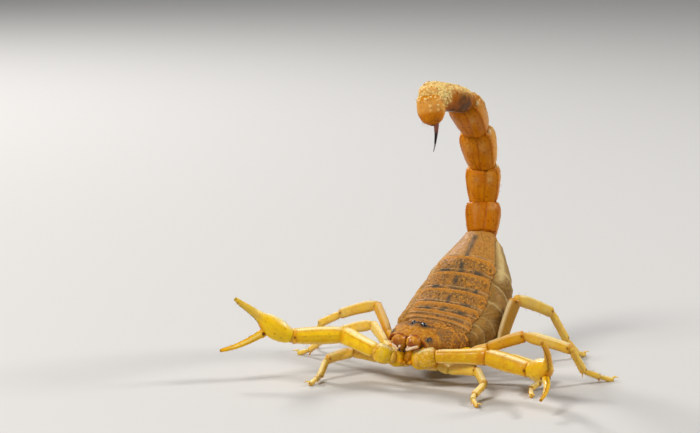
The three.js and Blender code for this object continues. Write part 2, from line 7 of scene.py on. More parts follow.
import bpy
import numpy as np
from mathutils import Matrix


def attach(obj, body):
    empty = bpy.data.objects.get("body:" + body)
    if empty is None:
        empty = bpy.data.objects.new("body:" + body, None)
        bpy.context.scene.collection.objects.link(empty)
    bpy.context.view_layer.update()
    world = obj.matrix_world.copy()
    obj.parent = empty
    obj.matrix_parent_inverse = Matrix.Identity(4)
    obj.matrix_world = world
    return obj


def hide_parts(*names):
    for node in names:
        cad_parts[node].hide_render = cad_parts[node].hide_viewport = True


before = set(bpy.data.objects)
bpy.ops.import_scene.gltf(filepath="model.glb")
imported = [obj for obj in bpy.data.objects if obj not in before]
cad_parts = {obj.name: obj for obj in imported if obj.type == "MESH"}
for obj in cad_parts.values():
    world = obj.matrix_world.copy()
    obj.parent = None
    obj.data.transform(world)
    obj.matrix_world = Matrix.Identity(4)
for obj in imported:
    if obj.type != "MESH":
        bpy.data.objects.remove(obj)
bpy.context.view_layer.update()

# ---------------------------------------------------------------------------------------- the bench
# A wide sheet of pale card, a soft window of light from the front and two softer ones behind,
# and the camera low in front of her left shoulder.

bench_middle = np.array([0.23137, -5.97777, 0.0])  # from her own origin to the middle of the floor
lens_place = np.array([171.2, -296.5, 78.6])
lens_turn = (80.634, 31.627)  # degrees tipped up from straight down, and turned to her left

camera = bpy.data.cameras.new("camera")
camera.lens = 135
camera.sensor_width = 36
camera.clip_start = 0.01
camera.clip_end = 20
tripod = bpy.data.objects.new("camera", camera)
tripod.location = (lens_place + bench_middle) / 1000
tripod.rotation_euler = (math.radians(lens_turn[0]), 0, math.radians(lens_turn[1]))
bpy.context.scene.collection.objects.link(tripod)
bpy.context.scene.camera = tripod
bpy.context.scene.view_settings.view_transform = "Standard"


def lamp(name, place, aim, width, power, colour):
    """A round window of light at a place, turned to what it lights."""
    light = bpy.data.lights.new(name, "AREA")
    light.shape = "DISK"
    light.size = width
    light.energy = power
    light.color = colour
    holder = bpy.data.objects.new(name, light)
    holder.location = place
    x, y, z = np.array(aim) - np.array(place)
    holder.rotation_euler = (math.atan2(math.hypot(x, y), -z), 0, math.atan2(x, -y) + math.pi)
    bpy.context.scene.collection.objects.link(holder)


lamp("lamp_front", (-0.11, -0.43, 0.42), (0, 0, 0.012), 0.2, 2.55, (1.0, 0.96, 0.90))
lamp("lamp_back_left", (0.36, 0.26, 0.34), (0, 0, 0.015), 0.12, 1.7, (1.0, 0.98, 0.96))
lamp("lamp_back_right", (-0.40, 0.22, 0.30), (0, 0, 0.015), 0.12, 1.6, (1.0, 0.98, 0.96))

sky = bpy.data.worlds.new("studio")
sky.use_nodes = True
sky.node_tree.nodes["Background"].inputs["Color"].default_value = (0.86, 0.87, 0.88, 1)
sky.node_tree.nodes["Background"].inputs["Strength"].default_value = 0.26
bpy.context.scene.world = sky

card = bpy.data.materials.new("pale_card")
card.use_nodes = True
card.node_tree.nodes["Principled BSDF"].inputs["Base Color"].default_value = (0.56, 0.555, 0.545, 1)
card.node_tree.nodes["Principled BSDF"].inputs["Roughness"].default_value = 0.75
card_mesh = bpy.data.meshes.new("floor")
card_mesh.from_pydata([(-4, -4, 0), (4, -4, 0), (4, 4, 0), (-4, 4, 0)], [], [(0, 1, 2, 3)])
card_mesh.materials.append(card)
floor = bpy.data.objects.new("floor", card_mesh)
bpy.context.scene.collection.objects.link(floor)

# ------------------------------------------------------------------------- the soft skin of the trunk
# The trunk is a bag of tough, finely pleated skin, stretched tight by the brood inside it. The plates
# of the back and belly are let into it, and it shows as a pale band down each flank.

front_margin = -4.1
head_length = 7.6
eye_share = 0.42
# Station by station from the front of the head to the root of the tail: x, y and z of the side line,
# half width, rise to the back, drop to the belly, pitch and roll of the section.
trunk_stations = np.array([
    [0, front_margin, 6.0, 2.9, 0.75, 0.5, 0, 6],
    [0, front_margin + eye_share * head_length, 5.7, 4.0, 2.0, 2.4, 2, 6],
    [0, front_margin + head_length, 5.35, 4.9, 2.05, 3.3, 6, 5],
    [-0.2, 4.6, 5.7, 6.15, 1.9, 3.6, 12, 4],
    [-0.2, 5.6, 6.05, 6.45, 2.3, 3.9, 16, 3],
    [0.15, 7.0, 6.5, 6.85, 2.85, 4.15, 21, 2],
    [0.15, 9.5, 7.75, 6.95, 3.5, 4.45, 29, 1],
    [0.05, 11.8, 9.65, 6.15, 3.9, 4.6, 33.5, 0],
    [0.05, 13.7, 11.65, 5.75, 3.85, 4.4, 36, 0],
    [-0.6, 17.4, 16.0, 2.8, 2.1, 2.3, 44, 0],
])


def trunk_section(number):
    """The eight measures of the trunk at a station number, smoothly between whole stations."""
    number = np.asarray(number, float)
    last = len(trunk_stations) - 1
    i = np.minimum(np.floor(number).astype(int), last - 1)
    t = (number - i)[..., None]
    a, b, c, d = (trunk_stations[np.clip(i + k, 0, last)] for k in (-1, 0, 1, 2))
    bend = 2 * b - 2 * c + (c - a) / 2 + (d - b) / 2
    curve = 3 * c - 3 * b - (c - a) - (d - b) / 2
    return b + (c - a) / 2 * t + curve * t ** 2 + bend * t ** 3


def trunk(number, angle, squareness=0.85):
    """Points on the trunk: angle 0 is her left side, 90 her back, 180 her right side, 270 her belly."""
    number, angle = np.broadcast_arrays(np.asarray(number, float), np.radians(angle))
    x, y, z, half, rise, drop, pitch, roll = np.moveaxis(trunk_section(number), -1, 0)
    squareness = squareness + 0.13 * ease(number, 6.5, 8.5)
    pitch, roll = np.radians(pitch), np.radians(roll)
    c, s = np.cos(angle), np.sin(angle)
    out = half * np.sign(c) * np.abs(c) ** squareness
    lift = np.where(s > 0, rise, drop) * np.sign(s) * np.abs(s) ** squareness
    zero = np.zeros_like(x)
    across = np.stack([np.cos(roll), zero, -np.sin(roll)], -1)
    up = np.stack([zero, -np.sin(pitch), np.cos(pitch)], -1)
    return np.stack([x, y, z], -1) + across * out[..., None] + up * lift[..., None]


def unit(way):
    """The same way, one long."""
    return way / np.linalg.norm(way, axis=-1, keepdims=True)


def heading(bearing, rise):
    """The way that a bearing and a rise point to."""
    b, r = np.broadcast_arrays(np.radians(bearing), np.radians(rise))
    return np.stack([np.sin(b) * np.cos(r), -np.cos(b) * np.cos(r), np.sin(r)], -1)


def scatter(cell, seed):
    """A number from 0 to 1 for each cell of space that looks drawn by chance and is always the same."""
    h = np.sin(cell @ np.array([127.1, 311.7, 74.7]) + seed) * 43758.5453
    return h - np.floor(h)


def grain(points, size, seed=0):
    """Smooth mottling from -1 to 1 with patches about one size across."""
    cell = np.floor(points / size)
    f = points / size - cell
    f = f * f * (3 - 2 * f)
    total = 0
    for corner in np.ndindex(2, 2, 2):
        c = np.array(corner)
        total = total + np.prod(np.where(c, f, 1 - f), axis=-1) * (2 * scatter(cell + c, 17.3 * seed) - 1)
    return total


def wave(turns):
    """A wave between -1 and 1 that tops at each whole number."""
    return np.cos(2 * np.pi * turns)


def hump(distance, width):
    """1 where a distance is nothing, dying away softly over the width."""
    return np.exp(-((distance / width) ** 2))


def ease(x, low, high):
    """0 up to low and 1 from high on, with a soft step between."""
    t = np.clip((x - low) / (high - low), 0, 1)
    return t * t * (3 - 2 * t)


def window(x, low, high, blur):
    """1 between low and high, with softened sides."""
    return ease(x, low - blur, low + blur) * (1 - ease(x, high - blur, high + blur))


def outward(grid, wraps, inside):
    """Unit normals of a grid of points that face away from the points inside it."""
    along = np.gradient(grid, axis=0)
    around = np.roll(grid, -1, 1) - np.roll(grid, 1, 1) if wraps else np.gradient(grid, axis=1)
    n = np.cross(along, around)
    n /= np.linalg.norm(n, axis=-1, keepdims=True) + 1e-12
    return n if np.sum(n * (grid - inside)) > 0 else -n


def raised(grid, n, lift):
    """The grid moved out along its normals."""
    return grid + n * lift[..., None]


def tube(grid, marks=None):
    """A closed skin over a grid whose rows are rings, with both ends drawn together."""
    rows, cols = grid.shape[:2]
    verts = np.concatenate([grid.reshape(-1, 3), [grid[0].mean(0)], [grid[-1].mean(0)]])
    i = np.arange(rows - 1)[:, None] * cols
    j = np.arange(cols)[None, :]
    k = (j + 1) % cols
    quads = np.stack([i + j, i + k, i + cols + k, i + cols + j], -1).reshape(-1, 4)
    j, k = j[0], k[0]
    first, last = rows * cols, rows * cols + 1
    base = (rows - 1) * cols
    tris = np.concatenate([
        np.stack([k, j, np.full(cols, first)], -1),
        np.stack([base + j, base + k, np.full(cols, last)], -1),
    ])
    painted = {}
    for name, value in (marks or {}).items():
        value = np.broadcast_to(value, (rows, cols))
        painted[name] = np.concatenate([value.ravel(), [value[0].mean(), value[-1].mean()]])
    return verts, quads, tris, painted


def volume(verts, quads, tris):
    """The room inside a closed skin; it comes out below zero where the faces look inwards."""
    faces = np.concatenate([quads[:, [0, 1, 2]], quads[:, [0, 2, 3]], tris])
    a, b, c = (verts[faces[:, k]] for k in range(3))
    return np.sum(a * np.cross(b, c)) / 6


def place(name, parts, finish, slot, *nodes):
    """Makes one piece out of closed parts, in metres on the bench, and fixes it to the animal."""
    verts, loops, sizes, marks, base = [], [], [], {}, 0
    for v, q, t, m in parts:
        if volume(v, q, t) < 0:
            q, t = q[:, ::-1], t[:, ::-1]
        verts.append(v)
        for faces in (q, t):
            loops.append((faces + base).ravel())
            sizes.append(np.full(len(faces), faces.shape[1]))
        for title, values in m.items():
            marks.setdefault(title, []).append((base, values))
        base += len(v)
    verts = (np.concatenate(verts) + bench_middle) / 1000
    loops, sizes = np.concatenate(loops), np.concatenate(sizes)
    mesh = bpy.data.meshes.new(name)
    mesh.vertices.add(len(verts))
    mesh.vertices.foreach_set("co", verts.astype(np.float32).ravel())
    mesh.loops.add(len(loops))
    mesh.loops.foreach_set("vertex_index", loops.astype(np.int32))
    mesh.polygons.add(len(sizes))
    mesh.polygons.foreach_set("loop_start", (np.cumsum(sizes) - sizes).astype(np.int32))
    mesh.polygons.foreach_set("loop_total", sizes.astype(np.int32))
    mesh.polygons.foreach_set("use_smooth", np.ones(len(sizes), bool))
    mesh.update(calc_edges=True)
    for title, spans in marks.items():
        values = np.zeros(len(verts), np.float32)
        for start, span in spans:
            values[start:start + len(span)] = span
        mesh.attributes.new(title, "FLOAT", "POINT").data.foreach_set("value", values)
    mesh.materials.append(finish)
    made = bpy.data.objects.new(name, mesh)
    bpy.context.scene.collection.objects.link(made)
    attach(made, "root")
    if nodes:
        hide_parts(*nodes)
    return made


def cuticle(name, base, roughness, glow=0.0, coat=0.0, shine=0.25):
    """A new finish with its colour, gloss and the light that soaks into it; layers are added after."""
    finish = bpy.data.materials.new(name)
    finish.use_nodes = True
    skin = finish.node_tree.nodes["Principled BSDF"]
    skin.inputs["Base Color"].default_value = (*base, 1)
    skin.inputs["Roughness"].default_value = roughness
    skin.inputs["IOR"].default_value = 1.4
    skin.inputs["Specular IOR Level"].default_value = shine
    skin.inputs["Coat Weight"].default_value = coat
    skin.inputs["Coat Roughness"].default_value = 0.15
    skin.inputs["Subsurface Weight"].default_value = glow
    skin.inputs["Subsurface Radius"].default_value = (1.0, 0.45, 0.12)
    skin.inputs["Subsurface Scale"].default_value = 0.0006
    return finish


def speckle(finish, size, detail=4.0, rough=0.6, stretch=(1, 1, 1)):
    """A noise pattern fixed to the animal; size is in millimetres."""
    tree = finish.node_tree
    where = tree.nodes.new("ShaderNodeTexCoord")
    scaled = tree.nodes.new("ShaderNodeMapping")
    scaled.inputs["Scale"].default_value = stretch
    noise = tree.nodes.new("ShaderNodeTexNoise")
    noise.inputs["Scale"].default_value = 1000 / size
    noise.inputs["Detail"].default_value = detail
    noise.inputs["Roughness"].default_value = rough
    tree.links.new(where.outputs["Object"], scaled.inputs["Vector"])
    tree.links.new(scaled.outputs["Vector"], noise.inputs["Vector"])
    return noise.outputs["Fac"]


def mark(finish, name):
    """The pattern of a mark that was painted on the piece, point by point."""
    found = finish.node_tree.nodes.new("ShaderNodeAttribute")
    found.attribute_name = name
    return found.outputs["Fac"]


def sharpen(finish, value, low, high, top=1.0):
    """Stretches a pattern so that low becomes 0 and high becomes top."""
    ramp = finish.node_tree.nodes.new("ShaderNodeMapRange")
    ramp.interpolation_type = "SMOOTHSTEP"
    ramp.inputs["From Min"].default_value = low
    ramp.inputs["From Max"].default_value = high
    ramp.inputs["To Max"].default_value = top
    finish.node_tree.links.new(value, ramp.inputs["Value"])
    return ramp.outputs["Result"]


def dye(finish, *layers):
    """Lays colours one over another. Each goes by a mark's name, by flecks, given as a noise pattern's
    size, detail and roughness with the low, high and top of its stretch, or by a ready pattern."""
    tree = finish.node_tree
    for share, colour in layers:
        if isinstance(share, str):
            share = mark(finish, share)
        elif isinstance(share, tuple):
            share = sharpen(finish, speckle(finish, *share[0]), *share[1])
        base = tree.nodes["Principled BSDF"].inputs["Base Color"]
        mix = tree.nodes.new("ShaderNodeMix")
        mix.data_type = "RGBA"
        if base.is_linked:
            tree.links.new(base.links[0].from_socket, mix.inputs["A"])
        else:
            mix.inputs["A"].default_value = base.default_value
        mix.inputs["B"].default_value = (*colour, 1)
        tree.links.new(share, mix.inputs["Factor"])
        tree.links.new(mix.outputs["Result"], base)


def emboss(finish, height, depth):
    """Raises the surface by a pattern, or by noise of a size and detail; depth is in millimetres."""
    if isinstance(height, tuple):
        height = speckle(finish, *height)
    tree = finish.node_tree
    bump = tree.nodes.new("ShaderNodeBump")
    bump.inputs["Strength"].default_value = 1
    bump.inputs["Distance"].default_value = depth / 1000
    normal = tree.nodes["Principled BSDF"].inputs["Normal"]
    if normal.is_linked:
        tree.links.new(normal.links[0].from_socket, bump.inputs["Normal"])
    tree.links.new(height, bump.inputs["Height"])
    tree.links.new(bump.outputs["Normal"], normal)


def burnish(finish, noise, low, high):
    """Lets noise set the gloss between two roughnesses."""
    ramp = sharpen(finish, speckle(finish, *noise), 0.3, 0.7)
    ramp.node.inputs["To Min"].default_value = low
    ramp.node.inputs["To Max"].default_value = high
    finish.node_tree.links.new(ramp, finish.node_tree.nodes["Principled BSDF"].inputs["Roughness"])


soft_skin = cuticle("soft_skin", (0.27, 0.145, 0.036), 0.4, glow=0.3, shine=0.12)
dye(soft_skin,
    # The gold layer is mostly painted backlight glowing through her right flank.
    ("gold", (0.50, 0.23, 0.025)),
    (((1.6,), (0.45, 0.75, 0.7)), (0.17, 0.095, 0.028)),
    (((0.9, 5.0, 0.7), (0.48, 0.62, 0.45)), (0.36, 0.20, 0.055)),
    (((0.45, 3.0), (0.54, 0.66, 0.55)), (0.10, 0.055, 0.02)),
    ("pale", (0.60, 0.45, 0.20)),
    (sharpen(soft_skin, mark(soft_skin, "patch"), 0.15, 0.5, 0.9), (0.50, 0.20, 0.02)))
emboss(soft_skin, (0.35, 3.0, 0.6, (1, 0.35, 0.35)), 0.05)
emboss(soft_skin, (0.12, 2.0), 0.02)
burnish(soft_skin, (0.8,), 0.4, 0.6)

# The bag itself bulges out below the edges of the back plates, is drawn in between one pair of plates and
# the next, and is folded along the flanks.
bag_rows, bag_cols = 290, 190
number = np.linspace(0.15, 9.0, bag_rows)[:, None]
angle = (np.arange(bag_cols) * 360 / bag_cols)[None, :]
bag = trunk(number, angle)
share = number - np.floor(number)
upward = np.degrees(np.arcsin(np.sin(np.radians(angle))))
flank = np.abs(np.cos(np.radians(angle)))
edge_angle = np.interp(number, [2, 4, 5, 6, 7, 8, 9], [33, 40, 42.5, 44, 43, 38, 30])  # of the back plates
bulge = ease(edge_angle - upward, -2, 14) * ease(upward + 27, 0, 16) * ease(number, 2.05, 2.6)
pinch = hump(np.minimum(share, 1 - share), 0.11)
folds = 0.05 * grain(bag * [0.6, 1.6, 0.9], 0.5, 3) + 0.03 * grain(bag, 0.25, 4)
right_side = ease(-bag[..., 0], 0.5, 2.5)
pleats = 0.025 * np.sin(np.radians(angle) * 9 + 9 * grain(bag, 1.4, 5)) * flank
depth = -0.14 + bulge * np.where(bag[..., 0] < 0, 0.38, 0.26) - 0.12 * pinch * flank ** 3
depth = depth + (folds * flank + pleats) * (1 - 0.5 * right_side)
inside = trunk_section(number)[..., :3]
bag = raised(bag, outward(bag, True, inside), depth)
# A plump amber patch sits under the side of each plate; pale lines run along the creases and fan out of
# them, and a pale hem edges the last plates.
beside = np.minimum(np.abs(angle - edge_angle), np.abs(angle - 180 + edge_angle))
cushion = hump(share - 0.48, 0.2) * hump(beside + 2, 2.6) * (1 - right_side)
cushion = cushion * ease(number, 3.4, 4.2) * (1 - ease(number, 7.6, 8.2))
bag = raised(bag, outward(bag, True, inside), 0.16 * cushion)
crease = hump(np.minimum(share, 1 - share) + 0.04 * grain(bag, 1.1, 8), 0.028) * ease(flank, 0.55, 0.75)
rays = np.mod(angle * 0.09 + 3 * share + 0.9 * grain(bag, 1.2, 9), 1.0)
fan = hump(rays - 0.5, 0.07) * ease(flank, 0.6, 0.8)
hem = hump(edge_angle - upward - 9, 8) * window(number, 7.4, 9.2, 0.25) * (0.7 + 0.3 * grain(bag, 0.7, 10))
pale = 0.6 * crease + 0.22 * fan + flank ** 4 * (0.15 * pinch + 0.3 * ease(number, 7.2, 9.0)) + 0.95 * hem
pale = np.clip(pale * (1 - 0.6 * right_side), 0, 0.9)
# Gold on her right flank is painted backlight glowing through the skin; her left flank keeps the darker base
# colour, as painted shade. A little gold mottles the whole bag.
gold = right_side * (0.75 + 0.25 * grain(bag, 0.8, 16)) + 0.25 * ease(grain(bag, 1.4, 17), 0.1, 0.6)

# A collar of the same skin joins the trunk to the first ring of the tail.
tail_root = np.array([-0.9, 17.8, 16.7])
tail_root_turns = (25, 120)  # bearing and rise of the first ring
collar = {"reach": 0.35, "half_width": 1.86, "half_height": 1.68}
tailward, aside = heading(*tail_root_turns), heading(tail_root_turns[0] + 90, 0)
about = np.radians(np.arange(120) * 3.0)
rim = tail_root + collar["reach"] * tailward + collar["half_width"] * np.cos(about)[:, None] * aside
rim = rim + collar["half_height"] * np.sin(about)[:, None] * np.cross(aside, tailward)
share = np.linspace(0, 1, 26)[:, None, None]
sleeve = trunk(8.82, np.degrees(about)) * (1 - share) + rim * share
bow = 0.08 * np.sin(np.pi * share) - 0.16 + 0.05 * wave(4 * share)
bow = bow + 0.04 * grain(sleeve, 0.4, 14)[..., None]
sleeve = sleeve + unit(sleeve - sleeve.mean(1, keepdims=True)) * bow
skins = [tube(bag, {"pale": pale, "patch": cushion, "gold": gold}), tube(sleeve, {"patch": 0.4})]
place("trunk_skin", skins, soft_skin, "belly")

# ---------------------------------------------------------------------------- the seven back plates
# Seven broad plates of horn-hard cuticle roof the trunk, each let into the skin at its front and sides.
# Its free rear lip stands over the front band of the next. The last is longer and narrows to the tail.

plate_spans = [(60, 57), (53, 50), (48, 47), (46, 45), (45, 46), (47, 49), (45, 58)]
lip_height = 0.2
lip_overhang, last_overhang = 0.2, 0.4
plate_thickness, lip_start = 0.22, 0.75  # past that share of its length a plate stands free as a lip
bead_pitch = 0.3  # of the grains along every keel of the trunk
corner_reach = 0.45  # how far the rear corners are rounded back
front_band = 0.75
plate_fineness = 0.07


def mingle(finish, kind, a, b):
    """Adds, multiplies or otherwise joins two patterns."""
    joined = finish.node_tree.nodes.new("ShaderNodeMath")
    joined.operation = kind
    for socket, value in zip(joined.inputs, (a, b)):
        if isinstance(value, (int, float)):
            socket.default_value = value
        else:
            finish.node_tree.links.new(value, socket)
    return joined.outputs["Value"]


def veins(finish, size, width):
    """A net of thin wandering lines, 1 along each line."""
    offset = mingle(finish, "SUBTRACT", speckle(finish, size, 2.0, 0.5), 0.5)
    return sharpen(finish, mingle(finish, "ABSOLUTE", offset, 0.0), width, 0.0)


back_plate = cuticle("back_plate", (0.31, 0.145, 0.038), 0.45, glow=0.1, shine=0.15)
dye(back_plate,
    ("ash", (0.20, 0.112, 0.036)),
    ("tan", (0.44, 0.21, 0.04)),
    (((1.1, 5.0, 0.7), (0.47, 0.58, 0.75)), (0.43, 0.18, 0.032)),
    (((0.38, 3.0), (0.51, 0.62, 0.75)), (0.085, 0.036, 0.010)))
wrinkle = mingle(back_plate, "MULTIPLY", veins(back_plate, 0.85, 0.06), mark(back_plate, "grit"))
dye(back_plate,
    (wrinkle, (0.60, 0.26, 0.028)),
    (mingle(back_plate, "MULTIPLY", mark(back_plate, "tan"), 0.6), (0.42, 0.195, 0.04)),
    (((0.3, 3.0), (0.56, 0.65, 0.7)), (0.62, 0.32, 0.07)),
    ("dusk", (0.13, 0.062, 0.018)),
    ("edge", (0.60, 0.24, 0.022)),
    ("ridge", (0.68, 0.46, 0.22)),
    ("smoke", (0.055, 0.054, 0.042)))
emboss(back_plate, wrinkle, 0.06)
emboss(back_plate, (0.16, 2.0), 0.03)
burnish(back_plate, (0.6,), 0.36, 0.56)


def studs(points, spacing, width, seed=0):
    """Raised grains, 0 to 1, scattered about one spacing apart."""
    cell = np.floor(points / spacing)
    nearest = np.full(points.shape[:-1], 9.0)
    for shift in np.ndindex(3, 3, 3):
        home = cell + np.array(shift) - 1
        aside = np.stack([scatter(home, seed + step) for step in (0, 5.1, 10.2)], -1)
        nearest = np.minimum(nearest, np.linalg.norm(points - (home + aside) * spacing, axis=-1))
    return np.clip(1 - (2 * nearest / width) ** 2, 0, 1)


def shell(top, under, marks=None):
    """A closed plate between an outer and an inner grid of points."""
    rows, cols = top.shape[:2]
    verts = np.concatenate([top.reshape(-1, 3), under.reshape(-1, 3)])
    i = np.arange(rows - 1)[:, None] * cols
    j = np.arange(cols - 1)[None, :]
    outer = np.stack([i + j, i + j + 1, i + cols + j + 1, i + cols + j], -1).reshape(-1, 4)
    inner = outer[:, ::-1] + rows * cols
    edge = np.concatenate([
        np.arange(cols - 1),
        np.arange(rows - 1) * cols + cols - 1,
        (rows - 1) * cols + np.arange(cols - 1, 0, -1),
        np.arange(rows - 1, 0, -1) * cols,
    ])
    after = np.roll(edge, -1)
    rim = np.stack([after, edge, edge + rows * cols, after + rows * cols], -1)
    painted = {}
    for name, value in (marks or {}).items():
        value = np.broadcast_to(value, (rows, cols)).ravel()
        painted[name] = np.concatenate([value, value])
    return verts, np.concatenate([outer, inner, rim]), np.zeros((0, 3), int), painted


def rolled(distance, radius):
    """How far a plate's surface drops within one radius of its border."""
    t = np.clip(1 - distance / radius, 0, 1)
    return radius * (1 - np.sqrt(1 - t * t))


for k, (front, rear) in enumerate(plate_spans, 1):
    length = float(np.linalg.norm(trunk(k + 2, 90) - trunk(k + 1, 90)))
    last = k == len(plate_spans)
    rear_end = 1 + (last_overhang if last else lip_overhang) / length
    u = np.linspace(-0.05, rear_end, int(length / plate_fineness) + 18)[:, None]
    v = np.linspace(-1, 1, 160)[None, :]
    corner = corner_reach / length * ease(np.abs(v), 0.8, 1.0) * ease(u, 0.6, 1.0)
    plate = trunk(k + 1 + u - corner, 90 + v * (front + (rear - front) * u))
    middle = trunk_section(k + 1 + u - corner)[..., :3]
    side = np.abs(plate[..., 0] - middle[..., 0])
    half = side[:, -1:]
    n = outward(plate, False, middle)
    ahead, behind = u * length, (u[-1] - u) * length
    coarse = ease(ahead, 0.7, 1.2) * (0.45 if last else 1)
    lift = 0.04 + lip_height * np.clip(u, 0, 2) ** 1.5 * (1 - 0.75 * ease(np.abs(v), 0.7, 1))
    lift += 0.07 * hump(ahead - front_band, 0.08)
    lift += 0.05 * coarse * studs(plate, 0.27, 0.25, k) + 0.015 * grain(plate, 0.4, k)
    # A beaded keel along the middle and one on each side, two on the last plate.
    beads = 0.6 + 0.4 * wave(u * length / bead_pitch)
    lift += (0.03 if last else 0.07) * hump(side, 0.11) * window(u, 0.3, 0.9, 0.1) * beads
    for out in (0.36, 0.66) if last else (0.36,):
        ridge = hump(side - out * half, 0.1) * window(u, 0.3, 0.92, 0.08)
        lift += (0.03 if last else 0.04) * ridge * beads
    lip = 0.5 + 0.5 * wave(plate[..., 0] / 0.24)
    lift += 0.03 * lip * (1 - ease(behind, 0.15, 0.3))
    lift = lift - rolled((1 - np.abs(v)) * half, 0.3) - rolled(behind, 0.12)
    # A smoky stripe down the middle and a bar to each side of it, both with ragged edges.
    tatter = (0.7 if last else 0.25) + (0.3 if last else 0.75) * ease(grain(plate, 0.5, 9 + k), -0.6, 0.3)
    stripe = hump(side, 0.42) * window(u, 0.05, 0.85, 0.08) * (0.95 if k > 2 else 0.6)
    bars = window(side, 0.36 * half, 0.7 * half, 0.4) * window(ahead, 0.15, front_band + 0.2, 0.18)
    bars = bars * (0.95 if 3 <= k < 7 else 0.35)
    worn = 0.78 + 0.22 * grain(plate, 0.45, 30 + k)
    # A flat oval with a raised welt round it lies near each side of the plates in the middle of the back.
    oval = np.hypot((side - half + 0.62) / 0.30, (u - 0.62) * length / 0.52) * ease(k, 1, 3)
    oval = np.abs(oval + 0.22 * grain(plate, 0.45, 60 + k)) + 3 * (k < 3 or last)
    welt = hump(oval - 1, 0.38) * (0.25 + 0.75 * ease(grain(plate, 0.4, 80 + k), -0.4, 0.4))
    lift += 0.09 * welt - 0.05 * hump(oval, 0.6)
    hem = (0 if last else 0.9) * (1 - ease(behind + 0.12 * grain(plate, 0.4, 40 + k), 0.2, 0.6))
    ridges = 0.55 * hump(ahead - front_band, 0.08) + (0 if last else 0.35) * hump(behind, 0.08)
    ashen = np.clip(hump(side, 2.2) * 0.7 + 0.6 * (ahead < front_band), 0, 0.8)
    marks = {
        "edge": np.maximum(hem, 0.95 * welt) * worn,
        "dusk": 0.75 * hump(oval, 1.5) * (1 - welt) * (0.4 + 0.6 * ease(plate[..., 0], 0.0, 2.0)),
        "grit": (0.25 if last else 0.85) * coarse * (0.35 + 0.65 * ease(plate[..., 0], -3.0, 3.0)),
        "ridge": ridges * worn,
        "smoke": np.clip(stripe + bars, 0, 1) * tatter * (0.9 if k > 2 else 0.6),
        "ash": ashen * (0.3 if last else 0.6 if k < 4 else 1),
        "tan": 0.9 if last else 0.45 * ease(side / half, 0.65, 0.95),
    }
    under = np.where(u > lip_start, np.minimum(lift - 0.11, 0.02 + lip_height * 0.5), -plate_thickness)
    skin = shell(raised(plate, n, lift), raised(plate, n, under), marks)
    place(f"back_plate_{k}", [skin], back_plate, "back", f"tergite_{k}")

# --------------------------------------------------------------------------------- the head shield
# One hard shield covers the head and the front of the trunk. It is grained and keeled, has a deep furrow
# along the middle, carries the eyes, and rolls down at the sides to meet the hips.

shield_rows, shield_cols = 120, 170
shield_thickness, shield_half_turn = 0.3, 97  # how far it reaches round to each side, in degrees
median_eye = {"x": 0.76, "y": -1.0, "radius": 0.42, "lift": 0.05}
side_eye = {"x": 2.65, "y": -3.45, "radius": 0.2, "count": 3, "pitch": 0.26}

head_shield = cuticle("head_shield", (0.23, 0.09, 0.018), 0.42, glow=0.1, shine=0.12)
dye(head_shield,
    ("olive", (0.235, 0.125, 0.042)),
    (((1.0, 5.0, 0.7), (0.47, 0.58, 0.75)), (0.40, 0.155, 0.024)),
    (((0.8, 3.0), (0.54, 0.64, 0.75)), (0.10, 0.04, 0.012)),
    ("front", (0.52, 0.20, 0.008)),
    (((0.7, 5.0, 0.7), (0.52, 0.62, 0.6)), (0.32, 0.115, 0.014)))
flecks = sharpen(head_shield, speckle(head_shield, 0.5, 4.0), 0.52, 0.62, 0.8)
dye(head_shield, (mingle(head_shield, "MULTIPLY", flecks, mark(head_shield, "front")), (0.66, 0.34, 0.04)))
wrinkle = mingle(head_shield, "MULTIPLY", veins(head_shield, 1.25, 0.075), mark(head_shield, "grit"))
dye(head_shield,
    (wrinkle, (0.60, 0.25, 0.028)),
    (((0.3, 3.0), (0.57, 0.66, 0.5)), (0.62, 0.33, 0.06)),
    # Along the front edge, over the jaws, this dark rim is painted shade.
    ("rim", (0.30, 0.07, 0.008)),
    ("smoke", (0.03, 0.033, 0.036)))
emboss(head_shield, wrinkle, 0.12)
emboss(head_shield, (0.42, 4.0), 0.10)
emboss(head_shield, (0.15, 2.0), 0.03)
burnish(head_shield, (0.5,), 0.4, 0.6)


def station(reach):
    """The trunk's station number at a share of the shield's length, counted from its front."""
    reach = np.asarray(reach, float)
    return np.where(reach < eye_share, reach / eye_share, 1 + (reach - eye_share) / (1 - eye_share))


def shield_top(x, y):
    """The point of the shield's back at a place on it, sideways and lengthways."""
    section = trunk_section(station((y - front_margin) / head_length))
    share = min(abs(x) / section[3], 1)
    lift = section[4] * (1 - share ** (2 / 0.85)) ** (0.85 / 2)
    return np.array([x, y, section[2] + lift - x * math.tan(math.radians(section[7]))])


reach = np.linspace(0, 1.03, shield_rows)[:, None]
v = np.linspace(-1, 1, shield_cols)[None, :]
cap = trunk(station(reach), 90 + shield_half_turn * v, 0.8)
section = trunk_section(np.broadcast_to(station(reach), cap.shape[:2]))
cap[..., 2] -= 0.4 * ease(np.abs(v), 0.5, 1.0) * (1 - ease(reach, 0.05, 0.4))
middle = section[..., :3]
n = outward(cap, False, middle)
x, y = cap[..., 0], cap[..., 1]
on_top = ease(cap[..., 2] - middle[..., 2], 0.2, 1.2)
